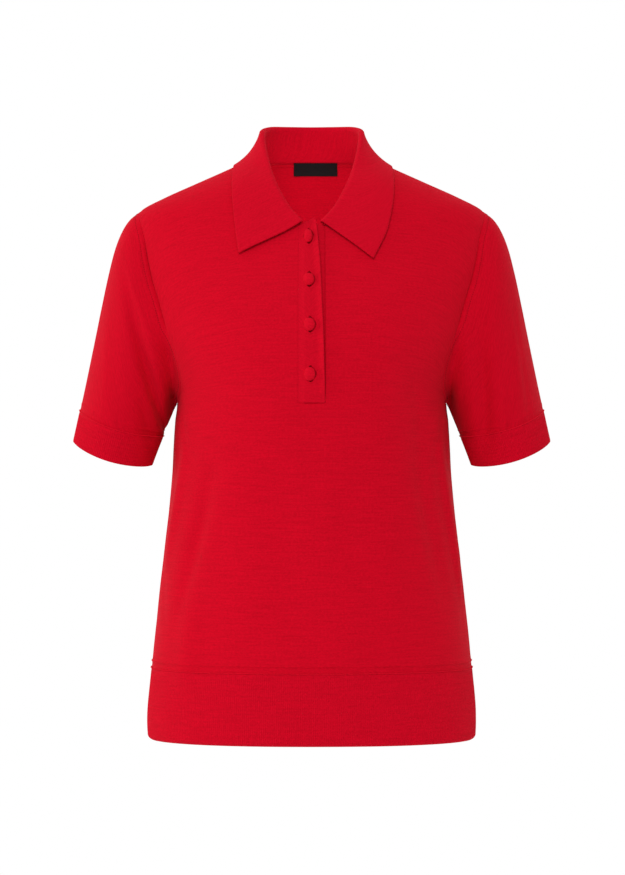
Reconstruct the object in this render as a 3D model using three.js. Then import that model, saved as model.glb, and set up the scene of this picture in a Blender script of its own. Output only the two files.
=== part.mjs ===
// A women's short-sleeved knitted polo shirt with a fold-down collar and a four-button placket,
// in the hollow form that it takes when it is worn. Millimetres, +Z up, -Y to the front and +X
// to the wearer's left. The origin lies midway between the two points where shoulder meets neck.

import * as THREE from 'three';

// Driving dimensions of the body
const NECK_HALF_WIDTH = 64;
const FRONT_NECK_DROP = 72;
const SHOULDER_Z = -52;
const UNDERARM_Z = -251;
const HEM_SEAM_Z = -522;
const HEM_Z = -594;
const SECTION_ROUNDNESS = 2.3;
const NECK_CURVE_EASE = 1.5;

// Driving dimensions of the cloth and its seams
const SEAM_GAP = 0.3;
const PANEL_WALL = 1.6;
const RIB_WALL = 2.2;
const COLLAR_WALL = 1.8;
const BAND_WALL = 1.4;
const LABEL_WALL = 0.6;
const RIB_PROUD = 0.3;
const SEAM_CORNER = { dullFrom: 0.5, turnOver: 0.7, leastLean: 0.7 };

// Driving dimensions of the placket, buttons and label
const SLIT_HALF_WIDTH = 13.5;
const PLACKET_BOTTOM_Z = UNDERARM_Z + SEAM_GAP;
const UPPER_BAND_PROUD = 1.2;
const UPPER_BAND_RISE_X = [-SLIT_HALF_WIDTH + SEAM_GAP, -9];
const UPPER_BAND_TOP = { x: 3.5, z: -65.7, slope: 0.33 };
const UNDER_BAND_SUNK = 0.5;
const UNDER_BAND_HIDDEN_X = -8.5;
const UNDER_BAND_TOP_Z = -70.5;
const BUTTON_RADIUS = 6;
const BUTTON_DOME = 3.6;
const BUTTON_RIM = 1;
const BUTTON_UNDERCUT = 0.6;
const SHANK_RADIUS = 0.7;
const BUTTONHOLE_HALF_LENGTH = 8;
const BUTTONHOLE_HALF_WIDTH = 1;
const LABEL = { centreX: 4, width: 46, topZ: 1.9, height: 13.1, gap: 0.5 };

// Driving dimensions of the sleeves and collar
const CUFF_WIDTH = 32;
const SLEEVE_EASE_END = 0.35;
const SLEEVE_SAG = { round: 4.4, front: 3.6 };
const SLEEVE_AXIS = new THREE.Vector3(0.29, 0, -0.956);
const COLLAR_FOLD_RADIUS = { back: 2.6, front: 1.5 };
const COLLAR_LIFT = 2;
const COLLAR_CURVE_REACH = 0.35;
const COLLAR_LEAF = { flattening: 0.7, fall: 0.6, fallEnds: [0.4, 0.75] };
const COLLAR_STAND_TURN = 0.85;
const COLLAR_END_RISE = { from: 0.9, height: 0.7 };
const COLLAR_SHOULDER_SPOT = 0.4;

// Steps of the faceted walls
const NECK_COLUMNS = 9;
const SHOULDER_COLUMNS = 8;
const NECK_SHARE = 0.45;
const ROWS_BELOW_UNDERARM = 10;
const ROWS_ABOVE_UNDERARM = 16;
const SLEEVE_ROWS = [0, 0.06, 0.13, 0.22, 0.33, 0.45, 0.58, 0.72, 0.86, 1];
const CUFF_ROWS = [0, 0.5, 1];
const HEM_ROWS = 2;
const UNDER_BAND_ROWS = 10;
const UNDER_BAND_COLUMNS = 3;
const LABEL_ROWS = 2;
const LABEL_COLUMNS = 6;
const BUTTON_SIDES = 20;
const BUTTON_DOME_STEPS = 5;
const COLLAR_STEPS = { stand: 4, fold: 5, leaf: 6 };

// Steps of the searches and slopes
const SEARCH_END = 1e-5;
const SLOPE_STEP = 0.01;

// Millimetres of cloth that one degree covers, for the widths of the folds
const BODY_GIRTH_STEP = 2.4;
const SLEEVE_GIRTH_STEP = 1.3;

// Level sections of the body: half width, and depth in front of and behind the side seams
const BODY_SECTIONS = table(['z', 'halfWidth', 'front', 'back'], [
  [0, 64, 12, 58],
  [-5, 75, 26, 61],
  [-12, 90.3, 38, 64.4],
  [-25, 119.2, 52, 70.5],
  [-40, 152.4, 63, 77.5],
  [-52, 174.6, 70, 83],
  [-60, 181.5, 74.6, 86],
  [-70, 184.5, 80.1, 89.7],
  [-95, 183.6, 94.3, 97.3],
  [-120, 179.5, 107.2, 103],
  [-150, 170.5, 121, 107.2],
  [-180, 161, 131.2, 108.9],
  [-205, 150, 135.6, 109],
  [-225, 142.5, 136, 107.5],
  [-241, 138.6, 135.4, 106],
  [-252, 138.6, 134.3, 105],
  [-270, 140.8, 132.5, 103.4],
  [-320, 143.3, 127.6, 99.5],
  [-390, 150.3, 123, 99],
  [-450, 157.3, 120.3, 103],
  [-522, 164.5, 118.4, 109],
  [-575, 168.8, 117.7, 111.4],
  [-594, 168.2, 117.5, 112],
]);

// The armhole seam, at even steps round its loop from the underarm to the shoulder point. An
// angle is the place on the section, from the middle of the front or back, 90 at the side.
const ARMHOLE = table(['share', 'z', 'frontAngle', 'backAngle'], [
  [0, UNDERARM_Z, 90, 90],
  [0.0909, -250, 83, 84],
  [0.1818, -241, 75, 77.5],
  [0.2727, -225, 68.5, 72],
  [0.3636, -205, 65, 69],
  [0.4545, -180, 63.5, 67],
  [0.5455, -150, 63.5, 67],
  [0.6364, -120, 64, 67.5],
  [0.7273, -92, 65.5, 68.5],
  [0.8182, -70, 69.5, 71],
  [0.9091, -57, 79, 79],
  [1, SHOULDER_Z, 90, 90],
]);

// The largest folds of the body. A girth angle is 0 at the middle of the front, 90 at the
// wearer's left side and -90 at the right one. A ridge has a height over 0, a trough under 0.
const BODY_FOLDS = table(['startGirth', 'startZ', 'endGirth', 'endZ', 'width', 'height'], [
  [62, -262, 80, -470, 11, 4.2],
  [43, -270, 58, -465, 14, -3.2],
  [-60, -275, -76, -430, 11, 3.6],
  [-39, -300, -56, -460, 14, -3],
  [-46, -440, -50, -545, 16, 3],
  [24, -330, 30, -500, 18, 2],
  [118, -265, 104, -460, 13, 3.8],
  [137, -280, 126, -480, 15, -3],
  [-116, -262, -103, -440, 13, 3.6],
  [-140, -300, -128, -500, 15, -3],
  [166, -210, 158, -420, 18, -2.2],
  [-163, -240, -170, -450, 18, 2.2],
]);

// The sleeve's rings: the outer and inner edge of each, and its depth in front and behind
const SLEEVE_SECTIONS = table(
  ['along', 'outerX', 'outerZ', 'innerX', 'innerZ', 'front', 'back'], [
    [0, 174, -51.5, 138.9, -251, 64, 58],
    [0.06, 185.5, -60.5, 140.8, -254.2, 64, 58],
    [0.12, 193.8, -72.5, 142.3, -257.8, 64, 58],
    [0.2, 201.5, -90.5, 144.3, -263, 64, 58],
    [0.3, 208, -114, 147, -269.6, 63.4, 57.7],
    [0.45, 215.8, -150, 150.9, -279, 62.2, 57],
    [0.6, 223.3, -187, 154.4, -287.6, 60.8, 56.2],
    [0.8, 234, -238.5, 159.4, -300.3, 58.8, 55],
    [1, 245.1, -289, 164.5, -314, 57, 54],
  ]);

// The largest folds of the sleeves. An angle is 0 at the outer edge, 180 at the underarm, and
// over 0 in front.
const RIGHT_SLEEVE_FOLDS = table(
  ['startAngle', 'startAlong', 'endAngle', 'endAlong', 'width', 'height'], [
    [58, 0.2, 150, 0.86, 12, -3.6],
    [92, 0.1, 164, 0.7, 9, 2.4],
    [-60, 0.22, -146, 0.86, 13, -3],
  ]);
const LEFT_SLEEVE_FOLDS = table(
  ['startAngle', 'startAlong', 'endAngle', 'endAlong', 'width', 'height'], [
    [96, 0.05, 132, 0.86, 15, -3.4],
    [64, 0.16, 104, 0.8, 13, 2.2],
    [-64, 0.2, -140, 0.84, 13, -3],
  ]);

// The collar's fold line and outer edge, from the middle of the back, 0, past the shoulder,
// 0.4, to the front end, 1
const COLLAR_FOLD_LINE = table(['spot', 'x', 'y', 'z'], [
  [0, 0, 49, 37],
  [0.2, 36, 33, 36],
  [0.4, 49.5, 4, 29.5],
  [0.5, 47.8, -14, 13.5],
  [0.6, 44, -31, -4],
  [0.7, 39.7, -45, -19],
  [0.8, 31.8, -58.5, -37],
  [0.9, 22, -71.5, -53],
  [1, 9.4, -81.2, -66.4],
]);
const COLLAR_EDGE = table(['spot', 'x', 'y', 'z', 'leftX', 'leftZ'], [
  [0, 0, 70.5, -13, 0, 0],
  [0.2, 53, 52, -11, 0, 0],
  [0.4, 78.5, 4, -6, 2.6, 0],
  [0.6, 79.5, -52, -38, 2.6, 0],
  [0.8, 76.8, -78, -72, -0.2, -1],
  [1, 72.5, -93, -101.5, -11.7, -7.2],
]);

// The buttons, and the free edge of the upper placket band
const BUTTONS = table(['x', 'z'], [
  [-3.3, -83.2],
  [-2.7, -128.3],
  [-2, -173.7],
  [-1.6, -222.7],
]);
const UPPER_BAND_EDGE = table(['z', 'x'], [
  [-65.7, 3.5],
  [-70.6, 4.3],
  [-88.9, 6.2],
  [-116, 8.4],
  [-143.5, 9.6],
  [-200, 11.8],
  [-251, 13],
]);

const RED_KNIT = new THREE.MeshStandardMaterial({ color: '#c80e22', roughness: 0.88, metalness: 0 });
const RED_RIB = new THREE.MeshStandardMaterial({ color: '#c20d21', roughness: 0.9, metalness: 0 });
const BLACK_WOVEN = new THREE.MeshStandardMaterial({ color: '#2b2226', roughness: 0.7, metalness: 0 });

const FRONT = -1;
const BACK = 1;
const RIGHT = -1;
const LEFT = 1;
const HALF_TURN = 180;

// Rows of plain numbers as objects with the columns' names
function table(columns, rows) {
  return rows.map((row) => Object.fromEntries(columns.map((name, i) => [name, row[i]])));
}

function radians(degrees) {
  return THREE.MathUtils.degToRad(degrees);
}

function mix(start, end, share) {
  return start + (end - start) * share;
}

// Steps from 0 to 1
function evenSteps(count) {
  return Array.from({ length: count + 1 }, (_, i) => i / count);
}

// A smooth curve that passes through one column of a table without overshooting
function curveThrough(rows, key, column) {
  const sorted = [...rows].sort((a, b) => a[key] - b[key]);
  const at = sorted.map((row) => row[key]);
  const value = sorted.map((row) => row[column]);
  const last = at.length - 1;
  const chord = at.slice(1).map((end, i) => (value[i + 1] - value[i]) / (end - at[i]));
  const slope = at.map((_, i) => {
    if (i === 0 || i === last) return chord[Math.max(0, i - 1)];
    if (chord[i - 1] * chord[i] <= 0) return 0;
    const before = at[i] - at[i - 1];
    const after = at[i + 1] - at[i];
    const weight = [2 * after + before, after + 2 * before];
    return (weight[0] + weight[1]) / (weight[0] / chord[i - 1] + weight[1] / chord[i]);
  });
  return (spot) => {
    if (spot <= at[0]) return value[0] + slope[0] * (spot - at[0]);
    if (spot >= at[last]) return value[last] + slope[last] * (spot - at[last]);
    const i = at.findIndex((start, k) => spot >= start && spot < at[k + 1]);
    const width = at[i + 1] - at[i];
    const s = (spot - at[i]) / width;
    const rest = 1 - s;
    return value[i] * (1 + 2 * s) * rest * rest + slope[i] * width * s * rest * rest
      + value[i + 1] * s * s * (3 - 2 * s) - slope[i + 1] * width * s * s * rest;
  };
}

// One closed cloth wall from its outer and inner grids of points. Cells that keep() refuses
// are left open, and each open edge gets a narrow face between the two grids.
function clothWall(outer, inner, { ring = false, keep = () => true } = {}) {
  const rows = outer.length;
  const columns = outer[0].length;
  const cells = ring ? columns : columns - 1;
  const corner = (layer, i, j) => (layer * rows + i) * columns + (j % columns);
  const points = [outer, inner].flat(2);
  const kept = (i, j) => {
    const column = ring ? (j + cells) % cells : j;
    return i >= 0 && i < rows - 1 && column >= 0 && column < cells && keep(i, column);
  };
  const faces = [];
  const quad = (a, b, c, d) => {
    if (points[a].distanceTo(points[c]) <= points[b].distanceTo(points[d])) {
      faces.push([a, b, c], [a, c, d]);
    } else {
      faces.push([a, b, d], [b, c, d]);
    }
  };
  for (let i = 0; i < rows - 1; i++) {
    for (let j = 0; j < cells; j++) {
      if (!kept(i, j)) continue;
      const [o00, o01, o11, o10] = [
        corner(0, i, j), corner(0, i, j + 1), corner(0, i + 1, j + 1), corner(0, i + 1, j)];
      const [n00, n01, n11, n10] = [
        corner(1, i, j), corner(1, i, j + 1), corner(1, i + 1, j + 1), corner(1, i + 1, j)];
      quad(o00, o01, o11, o10);
      quad(n10, n11, n01, n00);
      if (!kept(i - 1, j)) quad(n00, n01, o01, o00);
      if (!kept(i + 1, j)) quad(o10, o11, n11, n10);
      if (!kept(i, j - 1)) quad(o00, o10, n10, n00);
      if (!kept(i, j + 1)) quad(n01, n11, o11, o01);
    }
  }
  return outwardGeometry(points, faces);
}

// A triangle geometry whose faces point out, whichever way round the grids ran
function outwardGeometry(points, faces) {
  const volume = faces.reduce((sum, [a, b, c]) => sum
    + points[a].dot(new THREE.Vector3().crossVectors(points[b], points[c])), 0);
  const order = volume > 0 ? faces : faces.map(([a, b, c]) => [a, c, b]);
  const geometry = new THREE.BufferGeometry().setFromPoints(points);
  geometry.setIndex(order.flat());
  geometry.computeVertexNormals();
  return geometry;
}

const halfWidthAt = curveThrough(BODY_SECTIONS, 'z', 'halfWidth');
const frontDepthAt = curveThrough(BODY_SECTIONS, 'z', 'front');
const backDepthAt = curveThrough(BODY_SECTIONS, 'z', 'back');

function depthAt(z, side) {
  return side === FRONT ? frontDepthAt(z) : backDepthAt(z);
}

// How far a point lies outside the body's rounded sections, as a share of their size
function outsideShare(point) {
  const across = Math.abs(point.x) / halfWidthAt(point.z);
  const deep = Math.abs(point.y) / depthAt(point.z, point.y < 0 ? FRONT : BACK);
  const power = across ** SECTION_ROUNDNESS + deep ** SECTION_ROUNDNESS;
  return power ** (1 / SECTION_ROUNDNESS) - 1;
}

// The steepest way out of the body at a point
function outsideGradient(point) {
  const slope = ['x', 'y', 'z'].map((axis) => {
    const before = point.clone();
    const after = point.clone();
    before[axis] -= SLOPE_STEP;
    after[axis] += SLOPE_STEP;
    return (outsideShare(after) - outsideShare(before)) / (2 * SLOPE_STEP);
  });
  return new THREE.Vector3(...slope);
}

function bodyNormal(point) {
  return outsideGradient(point).normalize();
}

// The height of all folds of a table at a place, given in the table's own terms
function foldHeight(folds, across, along, millimetresAcross, names) {
  return folds.reduce((sum, fold) => {
    const share = (along - fold[names.startAlong]) / (fold[names.endAlong] - fold[names.startAlong]);
    if (share <= 0 || share >= 1) return sum;
    const middle = mix(fold[names.startAcross], fold[names.endAcross], share);
    const turned = THREE.MathUtils.euclideanModulo(across - middle + HALF_TURN, 2 * HALF_TURN);
    const distance = (turned - HALF_TURN) * millimetresAcross;
    return sum + fold.height * Math.sin(Math.PI * share) * Math.exp(-((distance / fold.width) ** 2));
  }, 0);
}

const BODY_FOLD_NAMES = {
  startAcross: 'startGirth', endAcross: 'endGirth', startAlong: 'startZ', endAlong: 'endZ',
};
const SLEEVE_FOLD_NAMES = {
  startAcross: 'startAngle', endAcross: 'endAngle', startAlong: 'startAlong', endAlong: 'endAlong',
};

// The smooth body without its folds
function smoothBodyPoint(x, z, side) {
  const reach = Math.min(Math.abs(x) / halfWidthAt(z), 1);
  const y = side * depthAt(z, side) * (1 - reach ** SECTION_ROUNDNESS) ** (1 / SECTION_ROUNDNESS);
  return new THREE.Vector3(x, y, z);
}

function girthAngle(x, z, side) {
  const reach = Math.min(Math.abs(x) / halfWidthAt(z), 1);
  const angle = THREE.MathUtils.radToDeg(Math.asin(reach ** (SECTION_ROUNDNESS / 2)));
  return Math.sign(x) * (side === FRONT ? angle : HALF_TURN - angle);
}

// A point of the cloth's outer face, moved out or in by an offset, with its outward normal
function bodyPoint(x, z, side, offset = 0) {
  const point = smoothBodyPoint(x, z, side);
  const normal = bodyNormal(point);
  const level = normal.clone().setZ(0).normalize();
  const girth = girthAngle(x, z, side);
  const height = foldHeight(BODY_FOLDS, girth, z, BODY_GIRTH_STEP, BODY_FOLD_NAMES);
  point.addScaledVector(level, height).addScaledVector(normal, offset);
  return { point, normal };
}

// The armhole's place on the body, by its share of the way from underarm to shoulder
const armholeZ = curveThrough(ARMHOLE, 'share', 'z');
const armholeAngle = {
  [FRONT]: curveThrough(ARMHOLE, 'share', 'frontAngle'),
  [BACK]: curveThrough(ARMHOLE, 'share', 'backAngle'),
};
function armholeSpot(share, side) {
  const z = armholeZ(share);
  const angle = radians(Math.min(armholeAngle[side](share), 90));
  return { x: halfWidthAt(z) * Math.sin(angle) ** (2 / SECTION_ROUNDNESS), z };
}

// The panel's top edge: first the neck, then the shoulder seam
function neckSpot(share, side) {
  if (side === BACK) {
    const angle = radians(90 * share);
    return { x: NECK_HALF_WIDTH * Math.sin(angle) ** (2 / SECTION_ROUNDNESS), z: 0 };
  }
  const slitAngle = Math.acos(SLIT_HALF_WIDTH / NECK_HALF_WIDTH);
  const angle = slitAngle * (1 - share) ** NECK_CURVE_EASE;
  return { x: NECK_HALF_WIDTH * Math.cos(angle), z: -FRONT_NECK_DROP * Math.sin(angle) };
}
function topSpot(across, side) {
  if (across <= NECK_SHARE) return neckSpot(across / NECK_SHARE, side);
  const z = SHOULDER_Z * ((across - NECK_SHARE) / (1 - NECK_SHARE));
  return { x: halfWidthAt(z), z };
}

// The panel's own places: across is 0 at the middle or slit and 1 at the side seam or armhole,
// up is -1 at the hem seam, 0 at the underarm and 1 at the neck and shoulder
function panelSpot(across, up, side) {
  const slit = side === FRONT ? SLIT_HALF_WIDTH : 0;
  const lowShare = Math.sin(radians(90 * across)) ** (2 / SECTION_ROUNDNESS);
  if (up <= 0) {
    const z = mix(UNDERARM_Z, HEM_SEAM_Z + SEAM_GAP / 2, -up);
    return { x: slit + (halfWidthAt(z) - slit) * lowShare, z };
  }
  const edge = armholeSpot(up, side);
  const rise = (edge.z - UNDERARM_Z) / (SHOULDER_Z - UNDERARM_Z);
  const top = topSpot(across, side);
  const topShare = (top.x - slit) / (halfWidthAt(SHOULDER_Z) - slit);
  const share = mix(lowShare, topShare, rise);
  return { x: slit + (edge.x - slit) * share, z: mix(UNDERARM_Z, top.z, rise) };
}

// The panel's columns from the wearer's right to the left, with one more in the slit's middle
function panelColumns(side) {
  const neck = evenSteps(NECK_COLUMNS).map((step) => step * NECK_SHARE);
  const shoulder = evenSteps(SHOULDER_COLUMNS).slice(1).map((step) => mix(NECK_SHARE, 1, step));
  const half = [...neck, ...shoulder];
  const mirrored = half.map((across) => ({ across, hand: RIGHT })).reverse();
  const middle = side === FRONT ? [{ across: 0, hand: 0 }] : [];
  const own = (side === FRONT ? half : half.slice(1)).map((across) => ({ across, hand: LEFT }));
  return [...mirrored, ...middle, ...own];
}

// Where the body and sleeve meet, each wall ends on a shared slant, so neither enters the
// other. In the sharp corner under the arm each keeps its own normal.
function seamNormals(bodySide, sleeveSide) {
  const agree = bodySide.dot(sleeveSide);
  const sharp = THREE.MathUtils.smoothstep(SEAM_CORNER.dullFrom - agree, 0, SEAM_CORNER.turnOver);
  const shared = bodySide.clone().add(sleeveSide).normalize();
  const seam = (own) => {
    const normal = shared.clone().lerp(own, sharp).normalize();
    return normal.divideScalar(Math.max(normal.dot(own), SEAM_CORNER.leastLean));
  };
  return { body: seam(bodySide), sleeve: seam(sleeveSide), sharp };
}

// A front or back panel, from the hem seam to the neck and shoulders
function bodyPanel(side) {
  const rows = [
    ...evenSteps(ROWS_BELOW_UNDERARM).map((step) => step - 1),
    ...evenSteps(ROWS_ABOVE_UNDERARM).slice(1),
  ];
  const columns = panelColumns(side);
  const middle = columns.findIndex((column) => column.hand === 0);
  const grid = rows.map((up) => columns.map(({ across, hand }) => {
    const spot = panelSpot(across, up, side);
    return bodyPoint(hand * spot.x, spot.z, side);
  }));
  const outer = grid.map((row) => row.map(({ point }) => point.clone()));
  const inner = grid.map((row, i) => row.map(({ point, normal }, j) => {
    const { across, hand } = columns[j];
    const atArmhole = across === 1 && rows[i] >= 0;
    const slant = atArmhole ? seamNormals(normal, sleeveNormal(rows[i], side, hand)).body : normal;
    return point.clone().addScaledVector(slant, -PANEL_WALL);
  }));
  rows.forEach((up, i) => columns.forEach(({ across, hand }, j) => {
    const onSideSeam = across === 1 && up <= 0;
    const onShoulderSeam = up === 1 && across >= NECK_SHARE;
    const onArmhole = across === 1 && up >= 0;
    const setBack = new THREE.Vector3(0, onSideSeam || onShoulderSeam ? side : 0, 0);
    if (onArmhole) setBack.add(grid[i][j - hand].point.clone().sub(grid[i][j].point).normalize());
    outer[i][j].addScaledVector(setBack, SEAM_GAP / 2);
    inner[i][j].addScaledVector(setBack, SEAM_GAP / 2);
  }));
  const inSlit = (i, j) => middle > 0 && rows[i] >= 0 && (j === middle || j === middle - 1);
  return clothWall(outer, inner, { keep: (i, j) => !inSlit(i, j) });
}

// Half of the ribbed band round the hem
function hemBand(side) {
  const columns = panelColumns(side);
  const levels = evenSteps(HEM_ROWS).map((step) => mix(HEM_Z, HEM_SEAM_Z - SEAM_GAP / 2, step));
  const slit = side === FRONT ? SLIT_HALF_WIDTH : 0;
  const layer = (offset) => levels.map((z) => columns.map(({ across, hand }) => {
    const lowShare = Math.sin(radians(90 * across)) ** (2 / SECTION_ROUNDNESS);
    const x = hand * (slit + (halfWidthAt(z) - slit) * lowShare);
    const { point } = bodyPoint(x, z, side, offset);
    if (across === 1) point.y += side * SEAM_GAP / 2;
    return point;
  }));
  return clothWall(layer(RIB_PROUD), layer(RIB_PROUD - RIB_WALL));
}

const sleeveCurves = Object.fromEntries(Object.keys(SLEEVE_SECTIONS[0])
  .map((column) => [column, curveThrough(SLEEVE_SECTIONS, 'along', column)]));

// The sleeve's plain rounded ring on the wearer's left, before it is eased into the armhole
function ringPoint(along, angle) {
  const at = (column) => sleeveCurves[column](along);
  const turn = radians(angle);
  const outer = new THREE.Vector3(at('outerX'), 0, at('outerZ'));
  const inner = new THREE.Vector3(at('innerX'), 0, at('innerZ'));
  const point = outer.clone().lerp(inner, (1 - Math.cos(turn)) / 2);
  const depth = Math.sin(turn) > 0 ? at('front') : at('back');
  point.y = -depth * Math.sin(turn);
  const forward = Math.max(Math.sin(turn), 0);
  const sag = SLEEVE_SAG.round * Math.sin(turn) ** 2 + SLEEVE_SAG.front * forward;
  return point.addScaledVector(SLEEVE_AXIS, sag * along * along);
}

function sideOfAngle(angle) {
  return angle >= 0 ? FRONT : BACK;
}

// How far the armhole seam lies from the sleeve's plain first ring
function armholeEase(angle) {
  const side = sideOfAngle(angle);
  const spot = armholeSpot(1 - Math.abs(angle) / HALF_TURN, side);
  return bodyPoint(spot.x, spot.z, side).point.sub(ringPoint(0, angle));
}

// A point of the sleeve's outer face on the wearer's left
function sleevePoint(along, angle, folds) {
  const near = Math.max(0, 1 - along / SLEEVE_EASE_END);
  const point = ringPoint(along, angle).addScaledVector(armholeEase(angle), near * near);
  const height = foldHeight(folds, angle, along, SLEEVE_GIRTH_STEP, SLEEVE_FOLD_NAMES);
  const centre = ringPoint(along, 0).lerp(ringPoint(along, HALF_TURN), 0.5);
  return point.addScaledVector(point.clone().sub(centre).normalize(), height);
}

function sleeveFaceNormal(along, angle, folds) {
  const step = { along: SLOPE_STEP, angle: 1 };
  const turned = (change) => {
    const full = THREE.MathUtils.euclideanModulo(angle + change + HALF_TURN, 2 * HALF_TURN);
    return full - HALF_TURN;
  };
  const start = Math.max(0, Math.min(along, 1 - step.along));
  const down = sleevePoint(start + step.along, angle, folds).sub(sleevePoint(start, angle, folds));
  const round = sleevePoint(along, turned(step.angle), folds)
    .sub(sleevePoint(along, turned(-step.angle), folds));
  return round.cross(down).normalize();
}

function foldsOfSleeve(hand) {
  return hand === RIGHT ? RIGHT_SLEEVE_FOLDS : LEFT_SLEEVE_FOLDS;
}

// The sleeve's normal at the armhole seam, on either hand
function sleeveNormal(armholeShare, side, hand) {
  const angle = (side === FRONT ? 1 : -1) * HALF_TURN * (1 - armholeShare);
  const normal = sleeveFaceNormal(0, angle, foldsOfSleeve(hand));
  return normal.setX(normal.x * hand);
}

// How far along the sleeve a point lies that is a given distance above the lower edge
function alongAboveEdge(angle, distance, folds) {
  const edge = sleevePoint(1, angle, folds);
  let [low, high] = [0, 1];
  while (high - low > SEARCH_END) {
    const middle = (low + high) / 2;
    if (sleevePoint(middle, angle, folds).distanceTo(edge) > distance) low = middle;
    else high = middle;
  }
  return low;
}

function ringAngles() {
  const count = 2 * ROWS_ABOVE_UNDERARM;
  return evenSteps(count).slice(0, count).map((step) => {
    const angle = 2 * HALF_TURN * step;
    return angle <= HALF_TURN ? angle : angle - 2 * HALF_TURN;
  });
}

function mirrorPoints(grid, hand) {
  return grid.map((row) => row.map((point) => point.clone().setX(point.x * hand)));
}

// One sleeve from the armhole to its ribbed band
function sleeve(hand) {
  const folds = foldsOfSleeve(hand);
  const angles = ringAngles();
  const ends = angles.map((angle) => alongAboveEdge(angle, CUFF_WIDTH + SEAM_GAP, folds));
  const outer = [];
  const inner = [];
  SLEEVE_ROWS.forEach((share) => {
    const row = angles.map((angle, j) => {
      const along = share * ends[j];
      const point = sleevePoint(along, angle, folds);
      const own = sleeveFaceNormal(along, angle, folds);
      if (share > 0) return { point, slant: own };
      const side = sideOfAngle(angle);
      const spot = armholeSpot(1 - Math.abs(angle) / HALF_TURN, side);
      const bodySide = bodyPoint(spot.x, spot.z, side).normal;
      const seam = seamNormals(bodySide, own);
      const outward = sleevePoint(SLOPE_STEP, angle, folds).sub(point).normalize();
      point.addScaledVector(outward, SEAM_GAP / 2);
      point.addScaledVector(bodySide, SEAM_GAP * seam.sharp);
      return { point, slant: seam.sleeve };
    });
    outer.push(row.map(({ point }) => point));
    inner.push(row.map(({ point, slant }) => point.clone().addScaledVector(slant, -PANEL_WALL)));
  });
  return clothWall(mirrorPoints(outer, hand), mirrorPoints(inner, hand), { ring: true });
}

// The ribbed band round a sleeve's lower edge
function cuff(hand) {
  const folds = foldsOfSleeve(hand);
  const layer = (offset) => CUFF_ROWS.map((share) => ringAngles().map((angle) => {
    const along = alongAboveEdge(angle, CUFF_WIDTH * (1 - share), folds);
    const normal = sleeveFaceNormal(along, angle, folds);
    return sleevePoint(along, angle, folds).addScaledVector(normal, offset);
  }));
  const outer = mirrorPoints(layer(RIB_PROUD), hand);
  const inner = mirrorPoints(layer(RIB_PROUD - RIB_WALL), hand);
  return clothWall(outer, inner, { ring: true });
}

// A line of the collar on both hands, by its signed spot from -1 on the right to 1 on the left
function collarLine(rows) {
  const whole = [...rows.slice(1).map((row) => ({ ...row, spot: -row.spot, x: -row.x })), ...rows];
  const [x, y, z] = ['x', 'y', 'z'].map((column) => curveThrough(whole, 'spot', column));
  return (spot) => new THREE.Vector3(x(spot), y(spot), z(spot));
}

const collarFoldAt = collarLine(COLLAR_FOLD_LINE);
const collarPlainEdgeAt = collarLine(COLLAR_EDGE);
const collarLeftX = curveThrough(COLLAR_EDGE, 'spot', 'leftX');
const collarLeftZ = curveThrough(COLLAR_EDGE, 'spot', 'leftZ');

function collarEdgeAt(spot) {
  const edge = collarPlainEdgeAt(spot);
  if (spot > 0) edge.add(new THREE.Vector3(collarLeftX(spot), 0, collarLeftZ(spot)));
  return edge;
}

// Where the collar is sewn on: the neck edge of the panels
function collarSeamAt(spot) {
  const share = Math.abs(spot);
  const hand = spot < 0 ? RIGHT : LEFT;
  const side = share <= COLLAR_SHOULDER_SPOT ? BACK : FRONT;
  const along = side === BACK ? share / COLLAR_SHOULDER_SPOT
    : 1 - (share - COLLAR_SHOULDER_SPOT) / (1 - COLLAR_SHOULDER_SPOT);
  const place = neckSpot(along, side);
  return bodyPoint(hand * place.x, place.z, side);
}

// Lifts a point of the collar's leaf clear of the body under it
function clearOfBody(point, lift) {
  for (let pass = 0; pass < 2; pass++) {
    if (point.z > 0) return point;
    const gradient = outsideGradient(point);
    const distance = outsideShare(point) / gradient.length();
    if (distance < lift) point.addScaledVector(gradient.normalize(), lift - distance);
  }
  return point;
}

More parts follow.
